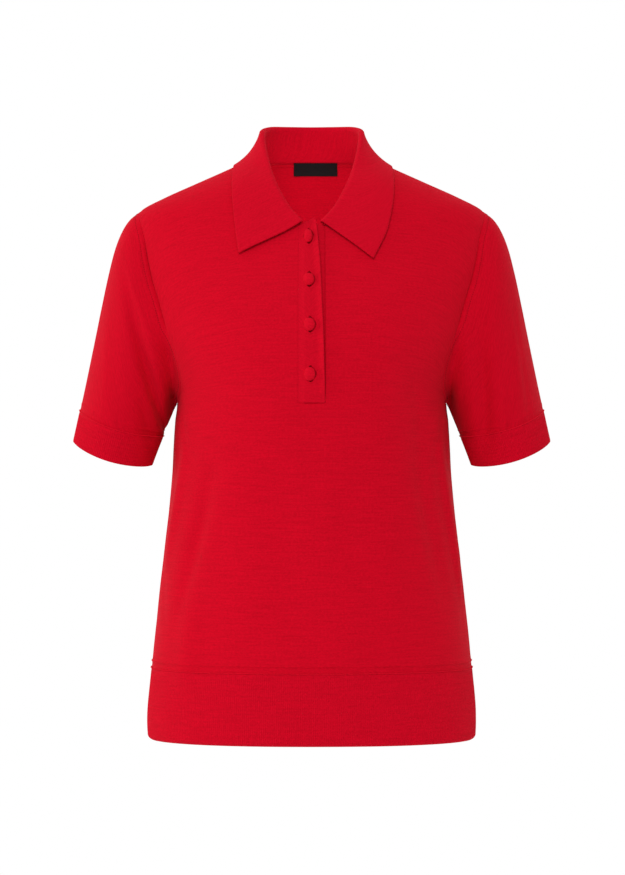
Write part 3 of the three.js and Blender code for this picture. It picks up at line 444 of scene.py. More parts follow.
@dataclass
class SleeveForm:
    """A sleeve from tilted rings, eased at its top into the body's armhole."""

    body: BodyForm
    hand: Hand
    cuff_width: float = 32
    ease_end: float = 0.35
    sag_round: float = 4.4
    sag_front: float = 3.6
    axis: tuple[float, float, float] = (0.29, 0, -0.956)
    sections: dict[str, Array] = field(default_factory=lambda: table(
        "along outer_x outer_z inner_x inner_z front back", [
            [0, 174, -51.5, 138.9, -251, 64, 58], [0.06, 185.5, -60.5, 140.8, -254.2, 64, 58],
            [0.12, 193.8, -72.5, 142.3, -257.8, 64, 58], [0.2, 201.5, -90.5, 144.3, -263, 64, 58],
            [0.3, 208, -114, 147, -269.6, 63.4, 57.7], [0.45, 215.8, -150, 150.9, -279, 62.2, 57],
            [0.6, 223.3, -187, 154.4, -287.6, 60.8, 56.2],
            [0.8, 234, -238.5, 159.4, -300.3, 58.8, 55], [1, 245.1, -289, 164.5, -314, 57, 54],
        ]))
    fold_rows: dict[Hand, list[list[float]]] = field(default_factory=lambda: {
        Hand.RIGHT: [
            [65, 0.15, 175, 0.5, 38, -7.5], [110, 0.4, 160, 0.92, 20, -2.4],
            [-60, 0.22, -146, 0.86, 22, -3],
            [30, 0.3, 74, 0.9, 14, 0.9], [-110, 0.1, -160, 0.6, 10, -1.4],
        ],
        Hand.LEFT: [
            [92, 0.03, 128, 0.95, 19, -7.5], [22, 0.28, 80, 0.9, 20, 2],
            [-64, 0.2, -140, 0.84, 22, -3],
            [38, 0.3, 56, 0.9, 7, -1.2], [-104, 0.1, -158, 0.6, 10, -1.4],
        ],
    })
    girth_step: float = 1.3
    tuck_depth: float = 12.0
    tuck_reach: float = 4.5
    tuck_angles: tuple[float, float] = (88, 122)
    tuck_ends: tuple[float, float] = (166, 179)
    outer_length: float = 245
    inner_length: float = 68

    def __post_init__(self) -> None:
        """Fits the curves through the tables."""
        rows = self.sections
        self.curves = {name: SmoothCurve(rows["along"], rows[name]) for name in rows if name != "along"}
        self.folds = Folds(table(FOLD_COLUMNS, self.fold_rows[self.hand]), self.girth_step)

    def ring_point(self, along: Array, angle: Array) -> Array:
        """Gives a point of the plain ring, before it is eased into the armhole."""
        along, angle = np.broadcast_arrays(np.asarray(along, float), np.asarray(angle, float))
        at = {name: curve(along) for name, curve in self.curves.items()}
        turn = np.radians(angle)
        share = (1 - np.cos(turn)) / 2
        depth = np.where(np.sin(turn) > 0, at["front"], at["back"])
        point = np.stack([
            mix(at["outer_x"], at["inner_x"], share), -depth * np.sin(turn),
            mix(at["outer_z"], at["inner_z"], share)], axis=-1)
        sag = self.sag_round * np.sin(turn) ** 2 + self.sag_front * np.maximum(np.sin(turn), 0)
        return point + np.array(self.axis) * (sag * along * along)[..., None]

    def armhole_point(self, angle: Array) -> tuple[Array, Array]:
        """Gives the armhole seam's point on the body, with its normal, at a sleeve angle."""
        side = np.where(angle >= 0, FRONT, BACK)
        x, z = self.body.armhole_spot(1 - np.abs(angle) / HALF_TURN, side)
        return self.body.point(x, z, side)

    def tuck(self, along: Array, angle: Array) -> Array:
        """Gives how deep the cloth dips into the crease beside the seam, low at the underarm."""
        share = (1 - np.cos(np.radians(angle))) / 2
        far = along * mix(self.outer_length, self.inner_length, share) / self.tuck_reach
        turn = np.abs(angle)
        where = smoothstep(turn, *self.tuck_angles) * (1 - smoothstep(turn, *self.tuck_ends))
        return self.tuck_depth * where * far * np.exp(1 - far)

    def point(self, along: Array, angle: Array) -> Array:
        """Gives a point of the sleeve's outer face on the wearer's left."""
        along, angle = np.broadcast_arrays(np.asarray(along, float), np.asarray(angle, float))
        ease = self.armhole_point(angle)[0] - self.ring_point(np.zeros_like(along), angle)
        near = np.maximum(0, 1 - along / self.ease_end)[..., None]
        point = self.ring_point(along, angle) + ease * near * near
        height = (self.folds.height(angle, along) - self.tuck(along, angle))[..., None]
        centre = (self.ring_point(along, np.zeros_like(angle))
                  + self.ring_point(along, np.full_like(angle, HALF_TURN))) / 2
        return point + unit(point - centre) * height

    def normal(self, along: Array, angle: Array) -> Array:
        """Gives the outward normal of the sleeve's face on the wearer's left."""
        along, angle = np.broadcast_arrays(np.asarray(along, float), np.asarray(angle, float))

        start = np.clip(along, 0, 1 - SLOPE_STEP)
        down = self.point(start + SLOPE_STEP, angle) - self.point(start, angle)
        around = self.point(along, wrapped(angle + 1)) - self.point(along, wrapped(angle - 1))
        return unit(np.cross(around, down))

    def along_above_edge(self, angle: Array, distance: Any) -> Array:
        """Finds how far along the sleeve each place lies that is a distance above its lower edge."""
        angle, distance = np.broadcast_arrays(np.asarray(angle, float), np.asarray(distance, float))
        edge = self.point(np.ones_like(angle), angle)
        low, high = np.zeros_like(angle), np.ones_like(angle)
        for _ in range(18):
            middle = (low + high) / 2
            far = np.linalg.norm(self.point(middle, angle) - edge, axis=-1) > distance
            low, high = np.where(far, middle, low), np.where(far, high, middle)
        return low

    def angles(self, count: int) -> Array:
        """Gives angles once round from the outer edge, past the front first, and back to it."""
        return signed(np.linspace(0, 2 * HALF_TURN, count + 1))


@dataclass(frozen=True)
class Ridge:
    """A soft line along an edge: its distance, height and flanks. A groove's height is under 0."""

    distance: float
    height: float
    width: float


@dataclass
class Sheet:
    """A grid of cloth points with its wall, from which a closed shell is made.

    A tube repeats its first column as its last one. The lift is how far the outer face stands over
    the cloth's plain face, and the bulge is how far the rim rounds out at each boundary point.
    """

    name: str
    face: Array
    normal: Array
    wall: float
    slant: Array | None = None
    tube: bool = False
    open_cells: Array | None = None
    lift: Array = field(init=False)
    bulge: Array = field(init=False)

    def __post_init__(self) -> None:
        """Starts with a plain outer face and seam edges all round."""
        self.lift = np.zeros(self.face.shape[:2])
        self.bulge = np.full(self.face.shape[:2], SEAM_BULGE)
        self.marks: dict[str, Array] = {}

    def arcs(self, axis: int) -> Array:
        """Gives the distance along the rows or columns from the grid's first one."""
        steps = np.linalg.norm(np.diff(self.face, axis=axis), axis=-1)
        lead = np.zeros_like(np.take(steps, [0], axis=axis))
        return np.concatenate([lead, np.cumsum(steps, axis=axis)], axis=axis)

    def from_edge(self, edge: Edge) -> Array:
        """Gives each point's distance from one edge, measured along the cloth."""
        axis = 0 if edge in (Edge.FIRST_ROW, Edge.LAST_ROW) else 1
        arc = self.arcs(axis)
        if edge in (Edge.FIRST_ROW, Edge.FIRST_COLUMN):
            return arc
        return np.take(arc, [-1], axis=axis) - arc

    def raise_line(self, edge: Edge, ridge: Ridge, where: Array | float = 1.0) -> None:
        """Raises a ridge along an edge, by a share for each point, 0 where it fades out."""
        spread = (self.from_edge(edge) - ridge.distance) / ridge.width
        self.lift = self.lift + ridge.height * np.exp(-spread * spread) * where

    def mark_ribs(self, places: Array, seam: Edge, end: Edge, seam_fade: tuple[float, float]) -> None:
        """Marks where ribs run and how high they stand, and rounds the cloth's free end.

        Args:
            places: each column's place in metres.
            seam: the edge at which the ribs fade into a seam.
            end: the free edge.
            seam_fade: from where to where they rise beside the seam.
        """
        self.marks["rib_across"] = np.broadcast_to(places, self.face.shape[:2])
        fade = smoothstep(self.from_edge(seam), *seam_fade)
        self.marks["rib_weight"] = fade * smoothstep(self.from_edge(end), *RIB_END_FADE)
        self.free_edge(end, self.wall * RIB_RIM_SHARE)

    def free_edge(self, edge: Edge, bulge: float) -> None:
        """Rounds the rim at an edge that no other piece is sewn to."""
        at = {Edge.FIRST_ROW: np.s_[0, :], Edge.LAST_ROW: np.s_[-1, :],
              Edge.FIRST_COLUMN: np.s_[:, 0], Edge.LAST_COLUMN: np.s_[:, -1]}[edge]
        self.bulge[at] = bulge

    def line_at(self, edge: Edge, distance: float, out: float = 0.0) -> Array:
        """Finds the line of cloth points at one distance from a first or last row.

        Args:
            edge: FIRST_ROW or LAST_ROW.
            distance: how far from it the line lies.
            out: how far over the face the line runs, under 0 for below it.

        Returns:
            One point for each column.
        """
        far = self.from_edge(edge)
        face = self.face + self.normal * (self.lift + out)[..., None]
        order = slice(None) if edge is Edge.FIRST_ROW else slice(None, None, -1)
        line = [[np.interp(distance, far[order, j], face[order, j, k]) for k in range(3)]
                for j in range(face.shape[1])]
        return np.array(line)

    def flat_size(self) -> tuple[float, float, float]:
        """Works out the cloth's flat width, length and area in metres and square metres."""
        width, length = self.arcs(1)[:, -1].max(), self.arcs(0)[-1].max()
        across, down = np.diff(self.face, axis=1)[:-1], np.diff(self.face, axis=0)[:, :-1]
        cells = np.linalg.norm(np.cross(across, down), axis=-1)
        if self.open_cells is not None:
            cells = cells * ~self.open_cells
        return width * MM, length * MM, min(cells.sum(), width * length) * MM * MM

    def make(self, uv_origin: float = 0.5) -> bpy.types.Object:
        """Makes the closed shell, with a map of its own in metres along the cloth.

        Args:
            uv_origin: the share of the columns at which the map's first coordinate is 0.

        Returns:
            The piece, in metres, at the origin.
        """
        rows, columns = self.face.shape[:2]
        count = rows * columns
        slant = self.normal if self.slant is None else self.slant
        outer = (self.face + self.normal * self.lift[..., None]).reshape(-1, 3)
        inner = (self.face - slant * self.wall).reshape(-1, 3)
        index = np.arange(count).reshape(rows, columns)
        weld = index.copy()
        if self.tube:
            weld[:, -1] = weld[:, 0]
        weld = weld.ravel()
        quads = np.stack([index[:-1, :-1], index[:-1, 1:], index[1:, 1:], index[1:, :-1]], axis=-1)
        keep = np.ones((rows - 1, columns - 1), bool) if self.open_cells is None else ~self.open_cells
        quads = quads[keep]
        way = np.cross(outer[quads[:, 1]] - outer[quads[:, 0]], outer[quads[:, 3]] - outer[quads[:, 0]])
        if (way * (outer - inner)[quads[:, 0]]).sum() < 0:
            quads = quads[:, ::-1]
        start, end = quads.ravel(), np.roll(quads, -1, axis=1).ravel()
        ends = np.sort(np.stack([weld[start], weld[end]]), axis=0)
        _, back, times = np.unique(ends[0] * count + ends[1], return_inverse=True, return_counts=True)
        rim = times[back] == 1
        start, end = start[rim], end[rim]
        run = unit(outer[end] - outer[start])
        out = np.zeros_like(outer)
        for corner in (start, end):
            np.add.at(out, weld[corner], np.cross(run, unit(outer - inner)[corner]))
        middle = (outer + inner) / 2 + unit(out) * self.bulge.reshape(-1, 1)
        faces = np.concatenate([
            quads, quads[:, ::-1] + count,
            np.stack([end, start, start + 2 * count, end + 2 * count], axis=-1),
            np.stack([end + 2 * count, start + 2 * count, start + count, end + count], axis=-1)])
        across = self.arcs(1)
        across = across - across[:, [int(uv_origin * (columns - 1))]]
        uv = np.stack([across, self.arcs(0)], axis=-1).reshape(-1, 2) * MM
        points = np.concatenate([outer, inner, middle]) * MM
        whole = np.concatenate([weld, weld + count, weld + 2 * count])
        marks = {name: np.tile(values.ravel(), 3) for name, values in self.marks.items()}
        if marks:
            marks["outer_face"] = np.repeat([1.0, 0.0, 0.0], count)
        return mesh_object(self.name, points, whole[faces], np.tile(uv, (3, 1))[faces], marks)


def mesh_object(name: str, points: Array, faces: Array, uv: Array,
                marks: Mapping[str, Array] | None = None) -> bpy.types.Object:
    """Makes a smooth mesh object from arrays and welds what coincides.

    Args:
        name: the piece's name.
        points: all points in metres, used or not.
        faces: four indices for each face.
        uv: two coordinates for each corner of each face.
        marks: numbers for each point, kept as attributes.

    Returns:
        The new object, linked to the scene.
    """
    used, compact = np.unique(faces, return_inverse=True)
    faces = compact.reshape(faces.shape)
    mesh = bpy.data.meshes.new(name)
    mesh.from_pydata(points[used].tolist(), [], faces.tolist())
    layer = mesh.uv_layers.new(name="cloth")
    layer.data.foreach_set("uv", uv.reshape(-1).astype(np.float32))
    for mark, values in (marks or {}).items():
        attribute = mesh.attributes.new(mark, "FLOAT", "POINT")
        attribute.data.foreach_set("value", values[used].astype(np.float32))
    work = bmesh.new()
    work.from_mesh(mesh)
    bmesh.ops.remove_doubles(work, verts=work.verts, dist=WELD_DISTANCE)
    work.to_mesh(mesh)
    work.free()
    mesh.polygons.foreach_set("use_smooth", np.ones(len(mesh.polygons), bool))
    mesh.update()
    piece = bpy.data.objects.new(name, mesh)
    bpy.context.scene.collection.objects.link(piece)
    return piece


def freeze(piece: bpy.types.Object) -> bpy.types.Object:
    """Turns a piece with modifiers into a plain mesh."""
    graph = bpy.context.evaluated_depsgraph_get()
    mesh = bpy.data.meshes.new_from_object(
        piece.evaluated_get(graph), preserve_all_data_layers=True, depsgraph=graph)
    piece.modifiers.clear()
    piece.data = mesh
    return piece


def add_node(tree: bpy.types.NodeTree, kind: str, settings: Mapping[str, Any] | None = None,
             inputs: Mapping[Any, Any] | None = None) -> bpy.types.Node:
    """Adds one node with its settings, values and links.

    Args:
        tree: the tree that it goes into.
        kind: the node's type name.
        settings: properties of the node.
        inputs: a value, or another node's output socket, for each input by name or number.

    Returns:
        The new node.
    """
    node = tree.nodes.new(kind)
    for name, value in (settings or {}).items():
        setattr(node, name, value)
    for name, value in (inputs or {}).items():
        if isinstance(value, bpy.types.NodeSocket):
            tree.links.new(value, node.inputs[name])
        else:
            node.inputs[name].default_value = value
    return node


def add_maths(tree: bpy.types.NodeTree, operation: str, *values: Any) -> bpy.types.NodeSocket:
    """Adds one maths node and gives its output."""
    return add_node(tree, "ShaderNodeMath", {"operation": operation}, dict(enumerate(values))).outputs[0]


def linear(hex_colour: str) -> tuple[float, float, float, float]:
    """Turns an sRGB hex colour into Blender's linear one."""
    parts = [int(hex_colour.lstrip("#")[i:i + 2], 16) / 255 for i in (0, 2, 4)]
    straight = [c / 12.92 if c <= 0.04045 else ((c + 0.055) / 1.055) ** 2.4 for c in parts]
    return (*straight, 1.0)


class Stitch(Enum):
    """How a cloth's yarn is looped or crossed."""

    JERSEY = "jersey"
    RIB = "rib"
    WOVEN = "woven"


@dataclass(frozen=True)
class ClothFinish:
    """A dyed cloth: its colour, its loops at their real pitch, and its soft sheen.

    The real cloth has about 1.1 mm between wales and 0.8 mm between courses. The photograph's pixels are
    1 mm, so the loops are drawn a third coarser to show at all. The colour goes towards the darker one at
    random, as yarn tone, and in the loops' low parts, as painted shade in the knit's hollows.
    """

    name: str
    stitch: Stitch
    colour: str
    # The darker colour: random dark yarn, and painted shade in the loops' hollows.
    shade: str
    wale: float = 1.5
    course: float = 1.15
    depth: float = 0.16
    roughness: float = 0.9
    sheen: float = 0.12
    sheen_tint: str = "#ff5a66"
    fleck: float = 2.3
    mottle: float = 0.8
    fleck_shape: tuple[float, float] = (1.3, 0.75)
    bar_shape: tuple[float, float] = (14, 0.85)
    bar_share: float = 0.7
    fibre_scale: float = 900.0
    fibre_share: float = 0.5
    yarn_range: tuple[float, float] = (0.6, 1.1)
    # How far the loops' own height lightens the colour, which paints shade into their low parts.
    loop_valley_shade: float = 0.3
    sheen_roughness: float = 0.45
    specular: float = 0.06

    def material(self) -> bpy.types.Material:
        """Builds the cloth's node material."""
        made = bpy.data.materials.new(self.name)
        made.use_nodes = True
        tree = made.node_tree
        tree.nodes.clear()
        height = self.loops(tree)
        place = add_node(tree, "ShaderNodeTexCoord").outputs["Object"]
        cloth = add_node(tree, "ShaderNodeUVMap", {"uv_map": "cloth"}).outputs["UV"]
        fleck = self.noise(tree, cloth, self.fleck_shape, 1.5)
        bar = self.noise(tree, cloth, self.bar_shape, 1.0)
        fibre = add_node(tree, "ShaderNodeTexNoise", None, {
            "Vector": place, "Scale": self.fibre_scale, "Detail": 2.0, "Roughness": 0.7}).outputs["Fac"]
        relief = add_maths(tree, "MULTIPLY_ADD", fibre, self.fibre_share, height)
        yarn = add_maths(tree, "MULTIPLY_ADD", bar, self.bar_share, fleck)
        soft = add_node(tree, "ShaderNodeMapRange", {"clamp": False}, {
            "Value": yarn, "From Min": self.yarn_range[0], "From Max": self.yarn_range[1],
            "To Min": 0.5 - self.mottle / 2, "To Max": 0.5 + self.mottle / 2}).outputs[0]
        # Mixes towards the darker colour by random yarn tone, and where the loops are low as painted
        # shade in their hollows.
        tone = add_node(tree, "ShaderNodeMath", {"operation": "MULTIPLY_ADD", "use_clamp": True}, {
            0: height, 1: self.loop_valley_shade, 2: soft}).outputs[0]
        mixed = add_node(tree, "ShaderNodeMix", {"data_type": "RGBA"}, {
            "Factor": tone, 6: linear(self.shade), 7: linear(self.colour)}).outputs[2]
        bump = add_node(tree, "ShaderNodeBump", None, {
            "Strength": 1.0, "Distance": self.depth * MM, "Height": relief}).outputs["Normal"]
        shader = add_node(tree, "ShaderNodeBsdfPrincipled", None, {
            "Base Color": mixed, "Normal": bump, "Roughness": self.roughness,
            "Sheen Weight": self.sheen, "Sheen Roughness": self.sheen_roughness,
            "Sheen Tint": linear(self.sheen_tint), "Specular IOR Level": self.specular})
        add_node(tree, "ShaderNodeOutputMaterial", None, {"Surface": shader.outputs["BSDF"]})
        return made

    def noise(self, tree: bpy.types.NodeTree, place: bpy.types.NodeSocket,
              shape: tuple[float, float], detail: float) -> bpy.types.NodeSocket:
        """Draws soft noise whose spots have a shape, counted in flecks."""
        scale = [1 / (self.fleck * side * MM) for side in shape]
        scaled = add_node(tree, "ShaderNodeVectorMath", {"operation": "MULTIPLY"}, {
            0: place, 1: (*scale, 0.0)}).outputs["Vector"]
        return add_node(tree, "ShaderNodeTexNoise", None, {
            "Vector": scaled, "Scale": 1.0, "Detail": detail, "Roughness": 0.6}).outputs["Fac"]

    def loops(self, tree: bpy.types.NodeTree) -> bpy.types.NodeSocket:
        """Draws the yarn's height over the cloth, from 0 to 1, on the cloth's own map."""

        maths = partial(add_maths, tree)

        def humps(count: bpy.types.NodeSocket) -> bpy.types.NodeSocket:
            return maths("ABSOLUTE", maths("SINE", maths("MULTIPLY", count, math.pi)))

        uv = add_node(tree, "ShaderNodeUVMap", {"uv_map": "cloth"}).outputs["UV"]
        parts = add_node(tree, "ShaderNodeSeparateXYZ", None, {0: uv})
        across = maths("MULTIPLY", parts.outputs["X"], 1 / (self.wale * MM))
        down = maths("MULTIPLY", parts.outputs["Y"], 1 / (self.course * MM))
        if self.stitch is Stitch.WOVEN:
            return maths("MULTIPLY", humps(across), humps(down))
        lean = maths("ABSOLUTE", maths("SUBTRACT", maths("FRACT", across), 0.5))
        loop = humps(maths("ADD", down, lean))
        if self.stitch is Stitch.RIB:
            return maths("MULTIPLY", loop, 0.8)
        both = maths("MULTIPLY_ADD", maths("SQRT", humps(across)), 0.45, maths("MULTIPLY", loop, 0.55))
        return maths("MULTIPLY", both, 0.85)


@dataclass(frozen=True)
class Finishes:
    """The shirt's materials, by what each cloth really is, except that the seam yarn's darker red is
    painted shade for the small holes of the stitched row.
    """

    jersey: ClothFinish = ClothFinish(
        "merino_jersey_fine_gauge", Stitch.JERSEY, "#d20321", "#ba021a")
    rib: ClothFinish = ClothFinish(
        "merino_rib_1x1", Stitch.RIB, "#d20322", "#bb021b", wale=2.16, course=1.3)
    collar: ClothFinish = ClothFinish(
        "merino_collar_full_needle", Stitch.JERSEY, "#d20423", "#bb021b", wale=1.3, course=1.3,
        depth=0.14)
    placket: ClothFinish = ClothFinish(
        "merino_placket_full_needle", Stitch.JERSEY, "#d10422", "#ba021b", wale=1.3, course=1.2,
        depth=0.14)
    button: ClothFinish = ClothFinish(
        "merino_covered_button", Stitch.JERSEY, "#d80725", "#c2041d", wale=1.2, course=1.0,
        depth=0.1)
    thread: ClothFinish = ClothFinish(
        "merino_linking_yarn", Stitch.JERSEY, "#dc0a28", "#cc061f", depth=0.05)
    # A darker red than the cloth: painted shade for the small holes of the stitched row beside the
    # armhole.
    seam_shade_thread: ClothFinish = ClothFinish(
        "merino_seam_yarn_painted_shade", Stitch.JERSEY, "#a00818", "#8a0513", depth=0.05)
    ribbon: ClothFinish = ClothFinish(
        "woven_satin_ribbon", Stitch.WOVEN, "#1c1719", "#0f0c0d", wale=0.45, course=0.6,
        depth=0.05, roughness=0.5, sheen=0.05, sheen_tint="#8a8488", mottle=0.2)


class ShapingTree:
    """A Geometry Nodes tree that has sizes and a material as its named inputs."""

    def __init__(self, name: str, sizes: Sequence[str]) -> None:
        """Opens the tree with its inputs."""
        self.tree = bpy.data.node_groups.new(name, "GeometryNodeTree")
        faces = self.tree.interface
        faces.new_socket("Geometry", in_out="INPUT", socket_type="NodeSocketGeometry")
        kinds = {**dict.fromkeys(sizes, "NodeSocketFloat"), "Material": "NodeSocketMaterial"}
        self.sockets = {socket: faces.new_socket(socket, in_out="INPUT", socket_type=kind).identifier
                        for socket, kind in kinds.items()}
        faces.new_socket("Geometry", in_out="OUTPUT", socket_type="NodeSocketGeometry")
        self.start = add_node(self.tree, "NodeGroupInput")

    def close(self, shape: bpy.types.NodeSocket) -> None:
        """Gives the finished shape its material and puts it out."""
        dressed = add_node(self.tree, "GeometryNodeSetMaterial", None, {
            "Geometry": shape, "Material": self.start.outputs["Material"]})
        add_node(self.tree, "NodeGroupOutput", None, {"Geometry": dressed.outputs["Geometry"]})

    def run(self, piece: bpy.types.Object, sizes: Mapping[str, float],
            material: bpy.types.Material) -> bpy.types.Object:
        """Runs the tree on a piece, with sizes in millimetres, and keeps the result as a mesh."""
        modifier = piece.modifiers.new(self.tree.name, "NODES")
        modifier.node_group = self.tree
        for name, value in sizes.items():
            modifier[self.sockets[name]] = value * MM
        modifier[self.sockets["Material"]] = material
        return freeze(piece)


class RibTree(ShapingTree):
    """A tree that raises a knitted rib on a piece's outer face."""

    fullness = 0.7

    def __init__(self) -> None:
        """Builds the tree once."""
        super().__init__("raise_ribs", ("Pitch", "Height"))
        tree, given = self.tree, self.start.outputs
        maths = partial(add_maths, tree)

        def mark(name: str) -> bpy.types.NodeSocket:
            node = add_node(tree, "GeometryNodeInputNamedAttribute", {"data_type": "FLOAT"},
                            {"Name": name})
            return node.outputs["Attribute"]

        turns = maths("DIVIDE", mark("rib_across"), given["Pitch"])
        wave = maths("MULTIPLY_ADD", maths("COSINE", maths("MULTIPLY", turns, 2 * math.pi)), 0.5, 0.5)
        profile = maths("SUBTRACT", maths("POWER", wave, self.fullness), 0.5)
        weight = maths("MULTIPLY", mark("rib_weight"), mark("outer_face"))
        rise = maths("MULTIPLY", maths("MULTIPLY", profile, weight), given["Height"])
        shift = add_node(tree, "ShaderNodeVectorMath", {"operation": "SCALE"}, {
            0: add_node(tree, "GeometryNodeInputNormal").outputs["Normal"], "Scale": rise})
        moved = add_node(tree, "GeometryNodeSetPosition", None, {
            "Geometry": given["Geometry"], "Offset": shift.outputs["Vector"]})
        plain = add_node(tree, "GeometryNodeRealizeInstances", None, {
            "Geometry": moved.outputs["Geometry"]})
        self.close(plain.outputs["Geometry"])


@dataclass(frozen=True)
class Yarn:
    """How stitches are laid: their pitch, and each one's length and thickness."""

    pitch: float
    length: float
    thickness: float


LINKING = Yarn(1.6, 1.9, 1.2)
NECK_LINKING = Yarn(1.5, 1.7, 0.8)
ARMHOLE_ROW = Yarn(2.5, 1.4, 0.95)
BAR_TACK = Yarn(0.55, 1.1, 0.9)


class StitchTree(ShapingTree):
    """A tree that lays short raised stitches along a line."""

    segments = 8
    rings = 6

    def __init__(self) -> None:
        """Builds the tree once."""
        super().__init__("lay_stitches", ("Pitch", "Length", "Thickness"))
        tree, given = self.tree, self.start.outputs
        line = add_node(tree, "GeometryNodeMeshToCurve", None, {"Mesh": given["Geometry"]})
        spots = add_node(tree, "GeometryNodeCurveToPoints", {"mode": "LENGTH"}, {
            "Curve": line.outputs["Curve"], "Length": given["Pitch"]})
        yarn = add_node(tree, "GeometryNodeMeshUVSphere", None, {
            "Segments": self.segments, "Rings": self.rings, "Radius": 0.5})
        size = add_node(tree, "ShaderNodeCombineXYZ", None, {
            "X": given["Thickness"], "Y": given["Thickness"], "Z": given["Length"]})
        laid = add_node(tree, "GeometryNodeInstanceOnPoints", None, {
            "Points": spots.outputs["Points"], "Instance": yarn.outputs["Mesh"],
            "Rotation": spots.outputs["Rotation"], "Scale": size.outputs["Vector"]})
        plain = add_node(tree, "GeometryNodeRealizeInstances", None, {
            "Geometry": laid.outputs["Instances"]})
        smooth = add_node(tree, "GeometryNodeSetShadeSmooth", None, {
            "Geometry": plain.outputs["Geometry"]})
        self.close(smooth.outputs["Geometry"])

    def lay(self, name: str, lines: Sequence[Array], yarn: Yarn,
            material: bpy.types.Material) -> bpy.types.Object:
        """Lays stitches along lines of points in millimetres, and keeps them as one mesh."""
        points, edges = [], []
        for line in lines:
            edges += [(len(points) + i, len(points) + i + 1) for i in range(len(line) - 1)]
            points += (np.asarray(line) * MM).tolist()
        mesh = bpy.data.meshes.new(name)
        mesh.from_pydata(points, edges, [])
        piece = bpy.data.objects.new(name, mesh)
        bpy.context.scene.collection.objects.link(piece)
        sizes = {"Pitch": yarn.pitch, "Length": yarn.length, "Thickness": yarn.thickness}
        return self.run(piece, sizes, material)


@dataclass
class Workshop:
    """What every sub-assembly needs: the body's form, the finishes and the node trees."""

    body: BodyForm
    finishes: Finishes
    materials: dict[str, bpy.types.Material] = field(default_factory=dict)

    def __post_init__(self) -> None:
        """Builds the trees that repeat ribs and stitches."""
        self.ribs = RibTree()
        self.stitches = StitchTree()

    def material(self, finish: ClothFinish) -> bpy.types.Material:
        """Gives a finish's material, which is built once."""
        if finish.name not in self.materials:
            self.materials[finish.name] = finish.material()
        return self.materials[finish.name]

    def dress(self, piece: bpy.types.Object, finish: ClothFinish) -> bpy.types.Object:
        """Puts a finish on a whole piece."""
        piece.data.materials.clear()
        piece.data.materials.append(self.material(finish))
        return piece

    def raise_ribs(self, piece: bpy.types.Object, pitch: float, height: float) -> bpy.types.Object:
        """Raises ribs on a piece of rib knit."""
        return self.ribs.run(piece, {"Pitch": pitch, "Height": height},
                             self.material(self.finishes.rib))

    def stitch(self, name: str, lines: Sequence[Array], yarn: Yarn, finish: ClothFinish,
               slot: str = "fine_knit") -> None:
        """Lays stitches along lines and puts them into the frame."""
        self.declare(self.stitches.lay(name, lines, yarn, self.material(finish)), None, slot)

    def declare(self, piece: bpy.types.Object, node: str | None, slot: str,
                sheet: Sheet | None = None, held: str = "hung") -> None:
        """Puts a finished piece into the frame.

        Args:
            piece: the piece.
            node: the solid that it stands for, or None where it only adds to one.
            slot: not used.
            sheet: the cloth grid that it was made from, if it is a sheet of cloth.
            held: not used.
        """
        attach(piece, "root")
        if node is not None:
            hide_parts(node)
        if sheet is not None:
            width, length, area = sheet.flat_size()
            LOG.info("%s: flat %.3f x %.3f m, %.4f m2", piece.name, width, length, area)
        faces = sum(len(face.vertices) - 2 for face in piece.data.polygons)
        LOG.info("%s: %d triangles", piece.name, faces)


